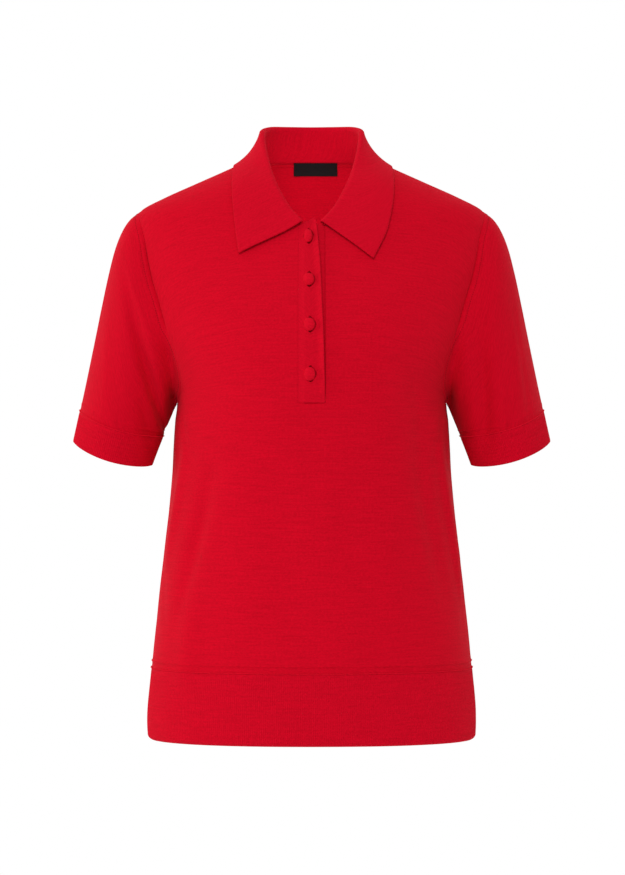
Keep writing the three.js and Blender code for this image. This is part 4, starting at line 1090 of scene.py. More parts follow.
@dataclass
class BodyPanels:
    """The front and back, from the hem seam to the neck and shoulders."""

    shop: Workshop
    sleeves: dict[Hand, SleeveForm]
    wall: float = 1.6
    rows_low: int = 84
    rows_high: int = 84
    neck_columns: int = 34
    shoulder_columns: int = 30
    near_seam: tuple[float, ...] = (0.004, 0.009, 0.016, 0.026, 0.04)
    ridge_row_step: float = 0.0022
    underarm_fade: tuple[float, float] = (-0.02, 0.06)
    armhole_groove: Ridge = Ridge(0, -0.4, 1.2)
    side_groove: Ridge = Ridge(0, -0.2, 1.2)
    shoulder_groove: Ridge = Ridge(0, -0.35, 1.4)
    hem_swell: Ridge = Ridge(0, 0.35, 1.2)
    hem_ridge: Ridge = Ridge(7.4, 1.1, 0.8)
    neck_linking: tuple[float, ...] = (0.3, 2.2)

    def columns(self, side: int) -> tuple[Array, Array]:
        """Lists the columns from the wearer's right to the left.

        Args:
            side: FRONT or BACK. The front has one more column, in the slit's middle.

        Returns:
            The places across, and the sign of each column's hand.
        """
        share = self.shop.body.neck_share
        first = self.near_seam if side == FRONT else ()
        neck = fine_steps(self.neck_columns, first) * share
        shoulder = mix(share, 1, fine_steps(self.shoulder_columns, (), self.near_seam))[1:]
        half = np.concatenate([neck, shoulder])
        own = half if side == FRONT else half[1:]
        middle = [0.0] if side == FRONT else []
        hands = [-1.0] * len(half) + [0.0] * len(middle) + [1.0] * len(own)
        return np.concatenate([half[::-1], middle, own]), np.array(hands)

    def sheet(self, side: int) -> Sheet:
        """Works out one panel's cloth."""
        body, gap = self.shop.body, self.shop.body.seam_gap / 2
        ridge = self.hem_ridge.distance / (body.underarm_z - body.hem_seam_z)
        at_ridge = [ridge + step * self.ridge_row_step for step in (-2, -1, -0.5, 0, 0.5, 1, 2)]
        low = fine_steps(self.rows_low, [*self.near_seam[:3], *at_ridge]) - 1
        high = fine_steps(self.rows_high, (), self.near_seam)[1:]
        up = np.concatenate([low, high])[:, None]
        across, hands = self.columns(side)
        x, z = body.panel_spot(across[None, :], up, side)
        face, normal = body.point(x * hands, z, side)
        slant = normal.copy()
        arm_rows = np.flatnonzero(up[:, 0] >= 0)
        for hand, column in ((Hand.RIGHT, 0), (Hand.LEFT, len(across) - 1)):
            share = up[arm_rows, 0]
            angle = (HALF_TURN if side == FRONT else -HALF_TURN) * (1 - share)
            other = self.sleeves[hand].normal(np.zeros_like(angle), angle) * [hand.value, 1, 1]
            slant[arm_rows, column] = seam_normals(normal[arm_rows, column], other)[0]
            inward = unit(face[arm_rows, column - hand.value] - face[arm_rows, column])
            face[arm_rows, column] += inward * gap
            face[up[:, 0] <= 0, column, 1] += side * gap
        shoulder = across >= body.neck_share
        face[-1, shoulder, 1] += side * gap
        sheet = Sheet(f"{'front' if side == FRONT else 'back'}_cloth", face, normal, self.wall, slant)
        if side == FRONT:
            slit = np.zeros((len(up) - 1, len(across) - 1), bool)
            middle = int(np.flatnonzero(hands == 0)[0])
            slit[up[:-1, 0] >= 0, middle - 1:middle + 1] = True
            sheet.open_cells = slit
        rising = smoothstep(up, *self.underarm_fade)
        for edge in (Edge.FIRST_COLUMN, Edge.LAST_COLUMN):
            sheet.raise_line(edge, self.armhole_groove, rising * near_shoulder(face[..., 2]))
            sheet.raise_line(edge, self.side_groove, 1 - rising)
        sheet.raise_line(Edge.LAST_ROW, self.shoulder_groove, shoulder[None, :] * 1.0)
        sheet.raise_line(Edge.FIRST_ROW, self.hem_swell)
        sheet.raise_line(Edge.FIRST_ROW, self.hem_ridge)
        return sheet

    def build(self) -> None:
        """Makes and dresses both panels."""
        for side, node in ((FRONT, "front"), (BACK, "back")):
            sheet = self.sheet(side)
            piece = self.shop.dress(sheet.make(), self.shop.finishes.jersey)
            self.shop.declare(piece, node, "fine_knit", sheet)
            line = sheet.line_at(Edge.FIRST_ROW, 0.2, out=0.45)
            self.shop.stitch(f"hem_linking_{node}", [line], LINKING, self.shop.finishes.thread)
            if side == BACK:
                self.link_neck(sheet)

    def link_neck(self, back: Sheet) -> None:
        """Lays two rows of linking stitches inside the back neck, at the collar's seam."""
        across, _ = self.columns(BACK)
        at_neck = across < self.shop.body.neck_share * 0.97
        lines = [back.line_at(Edge.LAST_ROW, distance, out=-self.wall - 0.15)[at_neck]
                 for distance in self.neck_linking]
        self.shop.stitch("neck_linking", lines, NECK_LINKING, self.shop.finishes.thread)


@dataclass
class HemBands:
    """The ribbed band round the hem, in a front and a back half."""

    shop: Workshop
    wall: float = 2.2
    proud: float = 0.3
    rib_pitch: float = 2.16
    rib_height: float = 0.32
    rows: int = 14
    turn_in: float = 2.0
    turn_in_height: float = 5.0
    seam_fade: tuple[float, float] = (1.2, 3.4)
    seam_swell: Ridge = Ridge(0, 0.1, 0.9)

    def sheet(self, side: int) -> Sheet:
        """Works out one half of the band."""
        body = self.shop.body
        dense = np.linspace(-1, 1, 801)
        middle_z = (body.hem_z + body.hem_seam_z) / 2
        ring, _ = body.point(np.sign(dense) * body.low_x(np.abs(dense), middle_z, BACK), middle_z, side)
        arc, steps, places = rib_steps(ring, self.rib_pitch)
        spots = np.interp(steps, arc, dense)
        levels = fine_steps(self.rows, (0.012, 0.026, 0.045), (0.01, 0.025, 0.05))
        z = mix(body.hem_z, body.hem_seam_z - body.seam_gap / 2, levels)[:, None]
        x = np.sign(spots) * body.low_x(np.abs(spots), z, BACK)
        low = np.clip(1 - (z - body.hem_z) / self.turn_in_height, 0, 1)
        face, normal = body.point(x, z, side, self.proud - self.turn_in * low ** 2.5)
        for column in (0, -1):
            face[:, column, 1] += side * body.seam_gap / 2
        sheet = Sheet(f"hem_{'front' if side == FRONT else 'back'}_rib", face, normal, self.wall)
        sheet.mark_ribs(places, Edge.LAST_ROW, Edge.FIRST_ROW, self.seam_fade)
        sheet.raise_line(Edge.LAST_ROW, self.seam_swell)
        return sheet

    def build(self) -> None:
        """Makes and dresses both halves."""
        for side, node in ((FRONT, "hem_front"), (BACK, "hem_back")):
            sheet = self.sheet(side)
            piece = self.shop.raise_ribs(sheet.make(), self.rib_pitch, self.rib_height)
            self.shop.declare(piece, node, "rib_knit", sheet)


@dataclass
class Sleeves:
    """Both sleeves with their ribbed bands and the stitches beside the armhole seams."""

    shop: Workshop
    forms: dict[Hand, SleeveForm]
    wall: float = 1.6
    rib_wall: float = 2.2
    rib_proud: float = 0.3
    rib_pitch: float = 2.1
    rib_height: float = 0.45
    rows: int = 96
    round_columns: int = 184
    armhole_groove: Ridge = Ridge(0, -0.45, 1.3)
    armhole_swell: Ridge = Ridge(2.6, 0.25, 1.5)
    stitch_groove: Ridge = Ridge(5.4, -0.15, 0.9)
    cuff_swell: Ridge = Ridge(0, 0.25, 1.0)
    cuff_ridge: Ridge = Ridge(6.2, 1.0, 0.8)
    band_swell: Ridge = Ridge(0, 0.2, 0.9)
    seam_fade: tuple[float, float] = (0.8, 2.6)

    def sleeve_sheet(self, form: SleeveForm) -> Sheet:
        """Works out one sleeve from the armhole to its band."""
        gap = self.shop.body.seam_gap
        angle = form.angles(self.round_columns)[None, :]
        share = fine_steps(self.rows, (0.003, 0.007, 0.012, 0.018, 0.026), (0.004, 0.01, 0.02))[:, None]
        along = share * form.along_above_edge(angle, form.cuff_width + gap)
        face, own = form.point(along, angle), form.normal(along, angle)
        _, body_side = form.armhole_point(angle[0])
        _, seam, sharp = seam_normals(body_side, own[0])
        slant = own.copy()
        slant[0] = seam
        face[0] += unit(face[2] - face[0]) * gap / 2 + body_side * gap * sharp
        mirror = np.array([form.hand.value, 1, 1])
        sheet = Sheet(f"sleeve_{form.hand.word}_cloth", face * mirror, own * mirror, self.wall,
                      slant * mirror, tube=True)
        long_enough = smoothstep(sheet.arcs(0)[-1], 20, 60)[None, :]
        top = near_shoulder(sheet.face[:1, :, 2])
        sheet.raise_line(Edge.FIRST_ROW, self.armhole_groove, top)
        sheet.raise_line(Edge.FIRST_ROW, self.armhole_swell, long_enough * top)
        sheet.raise_line(Edge.FIRST_ROW, self.stitch_groove, long_enough)
        sheet.raise_line(Edge.LAST_ROW, self.cuff_swell)
        sheet.raise_line(Edge.LAST_ROW, self.cuff_ridge, long_enough)
        return sheet

    def cuff_sheet(self, form: SleeveForm) -> Sheet:
        """Works out one ribbed band."""
        dense = np.linspace(0, 2 * HALF_TURN, 721)
        ring = form.point(np.full_like(dense, 0.95), signed(dense))
        arc, steps, places = rib_steps(ring, self.rib_pitch)
        full = np.interp(steps, arc, dense)
        angle = signed(full)[None, :]
        share = fine_steps(9, (0.02, 0.05), (0.04, 0.08))[:, None]
        coarse = np.linspace(0, 2 * HALF_TURN, 121)
        above = np.stack([form.along_above_edge(signed(coarse), form.cuff_width * (1 - s))
                          for s in share[:, 0]])
        along = np.stack([np.interp(full, coarse, row) for row in above])
        normal = form.normal(along, angle)
        face = form.point(along, angle) + normal * self.rib_proud
        mirror = np.array([form.hand.value, 1, 1])
        sheet = Sheet(f"cuff_{form.hand.word}_rib", face * mirror, normal * mirror, self.rib_wall,
                      tube=True)
        sheet.mark_ribs(places, Edge.FIRST_ROW, Edge.LAST_ROW, self.seam_fade)
        sheet.raise_line(Edge.FIRST_ROW, self.band_swell)
        return sheet

    def build(self) -> None:
        """Makes and dresses both sleeves, their bands and stitches."""
        shop = self.shop
        for hand, form in self.forms.items():
            sheet = self.sleeve_sheet(form)
            piece = shop.dress(sheet.make(0), shop.finishes.jersey)
            shop.declare(piece, f"sleeve_{hand.word}", "fine_knit", sheet)
            line = sheet.line_at(Edge.FIRST_ROW, self.stitch_groove.distance, out=-0.05)
            # The darker yarn of these stitches paints the shade of the row's small holes.
            shop.stitch(f"armhole_stitches_{hand.word}", [line[:-1]], ARMHOLE_ROW,
                        shop.finishes.seam_shade_thread)
            line = sheet.line_at(Edge.LAST_ROW, 0.2, out=0.45)
            shop.stitch(f"cuff_linking_{hand.word}", [line], LINKING, shop.finishes.thread)
            band = self.cuff_sheet(form)
            cuff = shop.raise_ribs(band.make(0), self.rib_pitch, self.rib_height)
            shop.declare(cuff, f"cuff_{hand.word}", "rib_knit", band)


@dataclass
class Collar:
    """The collar: one strip sewn to the neck, folded over and spread on the shoulders."""

    shop: Workshop
    body_wall: float = 1.6
    wall: float = 1.8
    shoulder_lift: float = 1.2
    end_lift: float = 3.2
    lift_rise: tuple[float, float] = (0.45, 0.62)
    thinning: Ridge = Ridge(0, -0.5, 6)
    edge_rim: float = 0.34
    fold_radius_back: float = 2.6
    fold_radius_front: float = 2.2
    curve_reach: float = 0.35
    flattening: float = 0.7
    fall: float = 0.6
    fall_ends: tuple[float, float] = (0.4, 0.75)
    stand_turn: float = 0.85
    end_rise_from: float = 0.9
    end_rise: float = 0.7
    shoulder_spot: float = 0.4
    stations: int = 46
    stand_steps: int = 10
    fold_steps: int = 9
    leaf_steps: int = 30
    fold_line: dict[str, Array] = field(default_factory=lambda: table("spot x y z", [
        [0, 0, 49, 37], [0.2, 36, 33, 36], [0.4, 49.5, 4, 29.5], [0.5, 47.8, -14, 13.5],
        [0.6, 44, -31, -4], [0.7, 39.7, -45, -19], [0.8, 31.8, -58.5, -37],
        [0.9, 22, -71.5, -54], [1, 9.4, -81.6, -68.2],
    ]))
    edge_line: dict[str, Array] = field(default_factory=lambda: table("spot x y z left_x left_z", [
        [0, 0, 70.5, -13, 0, 0], [0.2, 53, 52, -11, 0, 0], [0.4, 78.5, 4, -6, 2.6, 0],
        [0.6, 79.5, -52, -38, 2.6, 0], [0.8, 76.8, -78, -72, -0.2, -1],
        [1, 72.5, -93, -101.5, -11.7, -7.2],
    ]))

    def __post_init__(self) -> None:
        """Fits the curves through the two lines."""
        self.fold_curves = self.both_hands(self.fold_line)
        self.edge_curves = self.both_hands(self.edge_line)
        spots = self.edge_line["spot"]
        self.left_x = SmoothCurve(spots, self.edge_line["left_x"])
        self.left_z = SmoothCurve(spots, self.edge_line["left_z"])

    def both_hands(self, rows: dict[str, Array]) -> list[SmoothCurve]:
        """Fits a line on both hands, from -1 on the wearer's right to 1 on the left."""
        spots = np.concatenate([-rows["spot"][:0:-1], rows["spot"]])
        curves = []
        for name, sign in (("x", -1), ("y", 1), ("z", 1)):
            values = np.concatenate([sign * rows[name][:0:-1], rows[name]])
            curves.append(SmoothCurve(spots, values))
        return curves

    def fold_at(self, spot: float) -> Array:
        """Gives the fold line's point at a spot."""
        return np.array([curve(spot) for curve in self.fold_curves])

    def edge_at(self, spot: float) -> Array:
        """Gives the outer edge's point at a spot."""
        edge = np.array([curve(spot) for curve in self.edge_curves])
        if spot > 0:
            edge = edge + np.array([self.left_x(spot), 0, self.left_z(spot)])
        return edge

    def seam_at(self, spot: float) -> tuple[Array, Array]:
        """Gives the neck edge's point and normal at a spot."""
        share = abs(spot)
        side = BACK if share <= self.shoulder_spot else FRONT
        along = (share / self.shoulder_spot if side == BACK
                 else 1 - (share - self.shoulder_spot) / (1 - self.shoulder_spot))
        x, z = self.shop.body.neck_spot(along, side)
        return self.shop.body.point((-1 if spot < 0 else 1) * x, z, side)

    def clear_of_body(self, points: Array, spot: float) -> Array:
        """Lifts points of the leaf clear of the body under them, and a little more at its ends."""
        body = self.shop.body
        lift = mix(self.shoulder_lift, self.end_lift, smoothstep(abs(spot), *self.lift_rise))
        for _ in range(2):
            gradient = body.gradient(points)
            steepness = np.linalg.norm(gradient, axis=-1, keepdims=True)
            distance = body.outside(points)[..., None] / steepness
            low = (points[..., 2:] <= 0) & (distance < lift)
            points = points + np.where(low, gradient / steepness * (lift - distance), 0)
        return points

    def section(self, spot: float) -> tuple[Array, Array]:
        """Works out the middle line of the section: up the stand, over the fold, down the leaf.

        Args:
            spot: the place along the collar.

        Returns:
            The line's points, and the neck's normal at its root.
        """
        seam, seam_normal = self.seam_at(spot)
        ahead, behind = min(spot + SLOPE_STEP, 1.0), max(spot - SLOPE_STEP, -1.0)
        neck_way = self.seam_at(ahead)[0] - self.seam_at(behind)[0]
        rise = unit(np.cross(seam_normal, neck_way))
        rise = rise if rise[2] >= 0 else -rise
        end = max(0.0, (abs(spot) - self.end_rise_from) / (1 - self.end_rise_from))
        root = seam - seam_normal * self.body_wall / 2 + rise * (
            self.shop.body.seam_gap + self.end_rise * end)
        crest = self.fold_at(spot)
        edge = self.clear_of_body(self.edge_at(spot), spot)
        fold_way = unit(self.fold_at(ahead) - self.fold_at(behind))
        crest_way = crest - (root + edge) / 2
        crest_way = unit(crest_way - fold_way * (crest_way @ fold_way))
        leaf_way = unit(np.cross(crest_way, fold_way))
        leaf_way = leaf_way if leaf_way @ seam_normal >= 0 else -leaf_way
        radius = mix(self.fold_radius_back, self.fold_radius_front, spot * spot)
        centre = crest - crest_way * radius
        stand_top, leaf_top = centre - leaf_way * radius, centre + leaf_way * radius
        stand_reach = self.curve_reach * np.linalg.norm(stand_top - root)
        leaf_reach = self.curve_reach * np.linalg.norm(edge - leaf_top)
        leaf_end = unit(edge - leaf_top)
        edge_normal = unit(self.shop.body.gradient(edge))
        along_body = unit(leaf_end - edge_normal * (leaf_end @ edge_normal))
        leaf_end = unit(mix(leaf_end, along_body, self.flattening))
        fall = self.fall * (1 - smoothstep(abs(spot), *self.fall_ends))
        leaf_start = unit(mix(-crest_way, np.array([0.0, 0.0, -1.0]), fall))
        turn = self.stand_turn * smoothstep(abs(spot), self.shoulder_spot, 1)
        root_way = unit(mix(rise, unit(stand_top - root), turn))
        stand = bezier([root, root + root_way * stand_reach, stand_top - crest_way * stand_reach,
                        stand_top], self.stand_steps)
        leaf = bezier([leaf_top, leaf_top + leaf_start * leaf_reach, edge - leaf_end * leaf_reach,
                       edge], self.leaf_steps)
        bend = np.pi * np.linspace(0, 1, self.fold_steps + 1)[1:-1, None]
        fold = centre - leaf_way * radius * np.cos(bend) + crest_way * radius * np.sin(bend)
        return np.concatenate([stand, fold, self.clear_of_body(leaf, spot)]), seam_normal

    def sheet(self) -> Sheet:
        """Works out the whole strip, with its face on the side that the stand turns outwards."""
        spot_steps = np.linspace(-1, 1, 2 * self.stations + 1)
        ends = 1 - np.array([0.004, 0.012])
        spots = np.array(sorted({*spot_steps, *ends, *(-ends)}))
        sections = [self.section(float(spot)) for spot in spots]
        middle = np.stack([line for line, _ in sections])
        roots = np.stack([normal for _, normal in sections])
        along, across = np.gradient(middle, axis=0), np.gradient(middle, axis=1)
        normal = unit(np.cross(across, along))
        half = len(spots) // 2
        if normal[half, 1] @ roots[half] < 0:
            normal = -normal
        normal[:, 0] = roots
        for row, inner_row in ((0, 2), (-1, -3)):
            normal[row, 1:self.stand_steps] = normal[inner_row, 1:self.stand_steps]
        sheet = Sheet("collar_knit", middle + normal * self.wall / 2, normal, self.wall)
        at_shoulder = 1 - smoothstep(np.abs(np.abs(spots) - self.shoulder_spot), 0.06, 0.2)
        sheet.raise_line(Edge.LAST_COLUMN, self.thinning, at_shoulder[:, None])
        sheet.free_edge(Edge.LAST_COLUMN, self.wall * self.edge_rim)
        sheet.free_edge(Edge.FIRST_ROW, self.wall * RIM_SHARE)
        sheet.free_edge(Edge.LAST_ROW, self.wall * RIM_SHARE)
        sheet.bulge[:, 0] = 0.05
        return sheet

    def build(self) -> None:
        """Makes and dresses the collar."""
        sheet = self.sheet()
        piece = self.shop.dress(sheet.make(0), self.shop.finishes.collar)
        self.shop.declare(piece, "collar", "collar_knit", sheet, held="folded")


def bezier(corners: Sequence[Array], steps: int) -> Array:
    """Gives the points of a cubic Bezier curve, both ends among them."""
    s = np.linspace(0, 1, steps + 1)[:, None]
    first, second, third, fourth = corners
    rest = 1 - s
    return (first * rest ** 3 + second * 3 * s * rest ** 2 + third * 3 * s ** 2 * rest
            + fourth * s ** 3)


@dataclass
class Placket:
    """The two bands of the neck opening, with buttonholes, covered buttons and bar tacks."""

    shop: Workshop
    wall: float = 1.4
    proud: float = 1.2
    sunk: float = 1.3
    rise_end_x: float = -5.5
    top_x: float = 3.5
    top_z: float = -65.7
    top_slope: float = 0.33
    under_hidden_x: float = -8.5
    under_top_z: float = -70.5
    hole_half_length: float = 8.5
    hole_shift: float = 0.4
    hole_roundness: float = 1.7
    edge_curl: float = 3.0
    curl_width: float = 6
    curl_fade: float = 26
    button_top: float = 4.2
    corner_radius: float = 2.2
    corner_inset: float = 0.6
    foot_height: float = 1.6
    foot_inset: float = 1.0
    lip_height: float = 0.35
    lip_width: float = 1.3
    slope_start_z: float = -74.5
    under_groove: Ridge = Ridge(0, -0.25, 0.8)
    buttons: dict[str, Array] = field(default_factory=lambda: table(
        "x z hole button_width button_length button_x", [
            [-3.3, -84, 5.5, 4.5, 7.5, -0.4], [-2.7, -128.3, 6.2, 5.7, 6.8, -0.3],
            [-2, -173.7, 6.3, 5.8, 6.8, -0.3], [-1.6, -222.7, 6.2, 5.7, 6.8, -0.3],
        ]))
    free_edge: dict[str, Array] = field(default_factory=lambda: table("z x", [
        [-65.7, 3.5], [-70.6, 4.3], [-88.9, 6.2], [-116, 8.4], [-143.5, 9.6], [-200, 11.8],
        [-251, 13],
    ]))

    def __post_init__(self) -> None:
        """Fits the curves and finds the two ends of the opening."""
        body = self.shop.body
        self.edge_x = SmoothCurve(self.free_edge["z"], self.free_edge["x"])
        self.hole_x = SmoothCurve(self.buttons["z"], self.buttons["x"])
        self.bottom_z = body.underarm_z + body.seam_gap
        self.left_x = -body.slit_half_width + body.seam_gap

    def hole_width(self, z: Array) -> Array:
        """Gives the half width of the lens-shaped buttonholes at a height, 0 between them."""
        width = np.zeros_like(z)
        for centre, half_width in zip(self.buttons["z"], self.buttons["hole"]):
            share = np.clip(np.abs(z - centre) / self.hole_half_length, 0, 1)
            width = width + half_width * (1 - share ** self.hole_roundness)
        return width

    def levels(self) -> Array:
        """Lists the heights of the upper band's rows, close together round each hole."""
        holes = self.buttons["z"][:, None] + self.hole_half_length * np.cos(
            np.linspace(0, np.pi, 25))[None, :]
        plain = np.linspace(self.bottom_z, self.top_z, 60)
        near = np.abs(plain[:, None] - self.buttons["z"][None, :]).min(axis=1)
        plain = plain[near > self.hole_half_length + 1]
        ends = [self.bottom_z + step for step in (0.0, 0.7, 1.6)]
        return np.array(sorted({*np.round(holes.ravel(), 4), *plain, *ends, self.top_z}))

    def upper_sheet(self) -> Sheet:
        """Works out the upper band, which parts round each buttonhole."""
        body = self.shop.body
        level = self.levels()[:, None]
        hole = self.hole_width(level)
        centre = self.hole_x(level) + self.hole_shift * (hole > 0)
        edge = self.edge_x(level)
        corner = np.clip((level - (self.top_z - self.corner_radius)) / self.corner_radius, 0, 1)
        foot = np.clip(((self.bottom_z + self.foot_height) - level) / self.foot_height, 0, 1)
        edge = edge - (1 - np.sqrt(1 - corner ** 2)) * self.corner_radius * self.corner_inset
        edge = edge - (1 - np.sqrt(1 - foot ** 2)) * self.foot_inset
        first = mix(self.left_x, centre - hole, fine_steps(12, (0.02, 0.05, 0.12), (0.03, 0.08))[None, :])
        last = mix(centre + hole, edge, fine_steps(12, (0.03, 0.08), (0.03, 0.08))[None, :])
        x = np.concatenate([first, last], axis=1)
        drop = np.clip((level - self.slope_start_z) / (self.top_z - self.slope_start_z), 0, 1)
        z = level - np.maximum(self.top_x - x, 0) * self.top_slope * drop
        proud = self.proud * smoothstep(x, self.left_x, self.rise_end_x)
        held = smoothstep(level, self.bottom_z + 1, self.bottom_z + self.curl_fade)
        proud = proud + self.edge_curl * held * smoothstep(x, edge - self.curl_width, edge + 0.5)
        face, normal = body.point(x, z, FRONT, proud)
        sheet = Sheet("placket_upper_knit", face, normal, self.wall)
        lips = first.shape[1] - 1
        cells = np.zeros((len(level) - 1, x.shape[1] - 1), bool)
        cells[:, lips] = (hole[:-1, 0] > 0) | (hole[1:, 0] > 0)
        sheet.open_cells = cells
        near = np.where(x < centre, centre - hole - x, x - centre - hole)
        sheet.lift = self.lip_height * np.exp(-(near / self.lip_width) ** 2) * smoothstep(hole, 0, 1.5)
        for edge_name in (Edge.LAST_COLUMN, Edge.LAST_ROW, Edge.FIRST_ROW):
            sheet.free_edge(edge_name, self.wall * RIM_SHARE)
        sheet.bulge[:, lips:lips + 2] = 0.2
        return sheet

    def under_sheet(self) -> Sheet:
        """Works out the under band, which the buttons are sewn to."""
        body = self.shop.body
        z = np.linspace(self.bottom_z, self.under_top_z, 90)[:, None]
        end = body.slit_half_width - body.seam_gap
        x = mix(self.under_hidden_x, end, fine_steps(20, (), (0.01, 0.03, 0.06))[None, :])
        face, normal = body.point(*np.broadcast_arrays(x, z), FRONT, -self.sunk)
        sheet = Sheet("placket_under_knit", face, normal, self.wall)
        sheet.raise_line(Edge.LAST_COLUMN, self.under_groove)
        sheet.free_edge(Edge.LAST_ROW, self.wall * RIM_SHARE)
        return sheet

    def seat(self, i: int) -> tuple[Array, Array, Array, Array]:
        """Gives a button's place on the band with its ways across, up and out."""
        x, z = self.buttons["x"][i], self.buttons["z"][i]
        place, out = self.shop.body.point(x, z, FRONT, self.proud)
        across = unit(np.cross([0.0, 0.0, 1.0], out)) * -1
        across = across if across[0] > 0 else -across
        upward = unit(np.cross(across, out))
        upward = upward if upward[2] > 0 else -upward
        return place, across, upward, out

    def button(self, i: int) -> bpy.types.Object:
        """Makes one covered button: a soft dome that stands through its buttonhole."""
        place, across, upward, out = self.seat(i)
        rings, sides = 18, 56
        turn = np.linspace(0, 2 * np.pi, sides, endpoint=False)
        foot = -(self.proud + self.sunk) + 0.1
        dome = np.linspace(0, np.pi / 2, rings)
        radius = np.concatenate([np.sin(dome) ** 0.92, [0.985, 0.93, 0.8, 0.4, 0.0]])
        height = np.concatenate([
            mix(0.4, self.button_top, np.cos(dome) ** 0.85), [-0.3, -0.9, foot + 0.2, foot, foot]])
        lens = np.abs(np.sin(turn)) ** 1.6
        pull = 1 - 0.05 * np.cos(turn) ** 2 + 0.03 * lens
        half_width, half_length = self.buttons["button_width"][i], self.buttons["button_length"][i]
        x = radius[:, None] * np.cos(turn) * half_width * pull + self.buttons["button_x"][i]
        z = radius[:, None] * np.sin(turn) * half_length
        pucker = 0.12 * np.sin(9 * turn + i) * np.clip(radius[:, None], 0, 1) ** 4
        lift = height[:, None] + np.where(height[:, None] > 0, pucker, 0)
        points = place + (x[..., None] * across + z[..., None] * upward + lift[..., None] * out)
        rows, columns = x.shape
        index = np.arange(rows * columns).reshape(rows, columns)
        after = np.roll(index, -1, axis=1)
        quads = np.stack([index[:-1], index[1:], after[1:], after[:-1]], axis=-1).reshape(-1, 4)
        uv = np.stack([x, z], axis=-1).reshape(-1, 2) * MM
        piece = mesh_object(f"button_{i + 1}_covered", points.reshape(-1, 3) * MM, quads, uv[quads])
        work = bmesh.new()
        work.from_mesh(piece.data)
        bmesh.ops.recalc_face_normals(work, faces=work.faces)
        work.to_mesh(piece.data)
        work.free()
        return self.shop.dress(piece, self.shop.finishes.button)

    def tacks(self) -> None:
        """Lays a short bar tack at both ends of each buttonhole."""
        lines = []
        for i in range(len(self.buttons["z"])):
            for end, half in ((-1, 1.3), (1, 0.8)):
                z = self.buttons["z"][i] + end * (self.hole_half_length + 0.3)
                x = float(self.hole_x(z)) + self.hole_shift + np.linspace(-half, half, 5)
                line, _ = self.shop.body.point(x, z + 0 * x, FRONT, self.proud + 0.25)
                lines.append(line)
        self.shop.stitch("buttonhole_tacks", lines, BAR_TACK, self.shop.finishes.thread, "placket_knit")

    def build(self) -> None:
        """Makes and dresses both bands, the buttons and the tacks."""
        shop = self.shop
        for sheet, node in ((self.upper_sheet(), "placket_upper"), (self.under_sheet(), "placket_under")):
            piece = shop.dress(sheet.make(0), shop.finishes.placket)
            shop.declare(piece, node, "placket_knit", sheet)
        for i in range(len(self.buttons["z"])):
            shop.declare(self.button(i), f"button_{i + 1}", "covered_button")
        self.tacks()


@dataclass
class NeckLabel:
    """The bare woven label inside the back neck, sewn down at its two ends."""

    shop: Workshop
    body_wall: float = 1.6
    centre_x: float = 4
    width: float = 46
    top_z: float = 1.9
    height: float = 13.1
    gap: float = 0.5
    wall: float = 0.6

    def sheet(self) -> Sheet:
        """Works out the ribbon, with its face to the neck's inside."""
        x = self.centre_x + self.width * (fine_steps(40, (0.01, 0.025), (0.01, 0.025)) - 0.5)[None, :]
        z = (self.top_z - self.height * fine_steps(12, (0.03, 0.07), (0.03, 0.07)))[:, None]
        face, normal = self.shop.body.point(*np.broadcast_arrays(x, z), BACK,
                                            -self.body_wall - self.gap - self.wall)
        sheet = Sheet("neck_label_ribbon", face, -normal, self.wall)
        for edge in Edge:
            sheet.free_edge(edge, self.wall * RIM_SHARE)
        return sheet

    def build(self) -> None:
        """Makes and dresses the label."""
        sheet = self.sheet()
        piece = self.shop.dress(sheet.make(), self.shop.finishes.ribbon)
        self.shop.declare(piece, "neck_label", "woven_label", sheet, held="laid")


@dataclass(frozen=True)
class Lamp:
    """A square soft light: where it stands, what it faces, its width in metres and its watts."""

    name: str
    place: tuple[float, float, float]
    target: tuple[float, float, float]
    size: float
    power: float


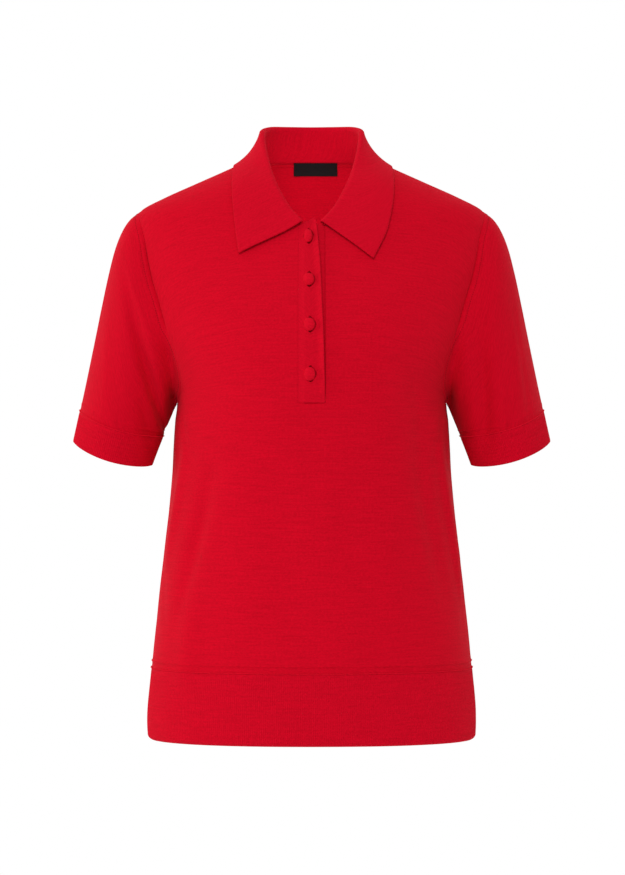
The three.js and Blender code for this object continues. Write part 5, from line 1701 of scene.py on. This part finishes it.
@dataclass(frozen=True)
class Studio:
    """The plain pale floor, the soft light and the camera, level with the middle of the shirt."""

    camera_place: tuple[float, float, float] = (0.00077, -3.7, -0.2858)
    lens: float = 147.8
    sensor: float = 36.0
    floor_z: float = -0.95
    floor_radius: float = 1.6
    wall_strength: float = 1.0
    room_strength: float = 0.45
    lamps: tuple[Lamp, ...] = (
        Lamp("key_front", (-0.35, -3.1, 1.8), (0, 0, -0.29), 1.6, 58.0),
        Lamp("key_side", (-3.0, -0.6, 0.2), (0, 0, -0.29), 1.2, 25.0),
        Lamp("inside_fill", (0, -0.045, -0.1), (0, 0.06, -0.02), 0.06, 0.09),
    )

    def build(self) -> None:
        """Sets up the camera, the world, the lights and the floor."""
        self.camera()
        self.world()
        self.floor()
        for lamp in self.lamps:
            self.light(lamp)

    def camera(self) -> None:
        """Makes the scene's camera."""
        data = bpy.data.cameras.new("camera")
        data.lens = self.lens
        data.sensor_width = self.sensor
        camera = bpy.data.objects.new("camera", data)
        camera.location = self.camera_place
        camera.rotation_euler = (math.pi / 2, 0, 0)
        bpy.context.scene.collection.objects.link(camera)
        bpy.context.scene.camera = camera

    def world(self) -> None:
        """Surrounds the shirt with a white wall behind it and a dimmer room before it."""
        world = bpy.data.worlds.new("studio")
        world.use_nodes = True
        tree = world.node_tree
        tree.nodes.clear()
        way = add_node(tree, "ShaderNodeTexCoord").outputs["Generated"]
        parts = add_node(tree, "ShaderNodeSeparateXYZ", None, {0: way})
        strength = add_node(tree, "ShaderNodeMapRange", {"interpolation_type": "SMOOTHSTEP"}, {
            "Value": parts.outputs["Y"], "From Min": -0.6, "From Max": 0.5,
            "To Min": self.room_strength, "To Max": self.wall_strength}).outputs[0]
        sky = add_node(tree, "ShaderNodeBackground", None, {
            "Color": linear("#ffffff"), "Strength": strength})
        add_node(tree, "ShaderNodeOutputWorld", None, {"Surface": sky.outputs[0]})
        bpy.context.scene.world = world
        bpy.context.scene.view_settings.view_transform = "Standard"

    def floor(self) -> None:
        """Makes a wide matt floor below the shirt."""
        work = bmesh.new()
        bmesh.ops.create_circle(work, cap_ends=True, segments=96, radius=self.floor_radius)
        bmesh.ops.translate(work, verts=work.verts, vec=(0, 0, self.floor_z))
        mesh = bpy.data.meshes.new("floor")
        work.to_mesh(mesh)
        work.free()
        floor = bpy.data.objects.new("floor", mesh)
        bpy.context.scene.collection.objects.link(floor)
        paper = bpy.data.materials.new("matt_paper")
        paper.use_nodes = True
        shader = paper.node_tree.nodes["Principled BSDF"]
        shader.inputs["Base Color"].default_value = linear("#f7f7f7")
        shader.inputs["Roughness"].default_value = 0.9
        mesh.materials.append(paper)

    def light(self, lamp: Lamp) -> None:
        """Adds a light that isn't seen itself."""
        data = bpy.data.lights.new(lamp.name, "AREA")
        data.size, data.energy = lamp.size, lamp.power
        light = bpy.data.objects.new(lamp.name, data)
        place = Vector(lamp.place)
        light.location = place
        light.rotation_euler = (Vector(lamp.target) - place).to_track_quat("-Z", "Y").to_euler()
        light.visible_camera = False
        bpy.context.scene.collection.objects.link(light)


def main() -> None:
    """Loads the frame and builds the shirt's sub-assemblies and the studio around it."""
    logging.basicConfig(level=logging.INFO, format="%(name)s: %(message)s")
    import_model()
    Studio().build()
    body = BodyForm()
    forms = {hand: SleeveForm(body, hand) for hand in Hand}
    shop = Workshop(body, Finishes())
    BodyPanels(shop, forms).build()
    HemBands(shop).build()
    Sleeves(shop, forms).build()
    Collar(shop).build()
    Placket(shop).build()
    NeckLabel(shop).build()


if __name__ == "__main__":
    main()
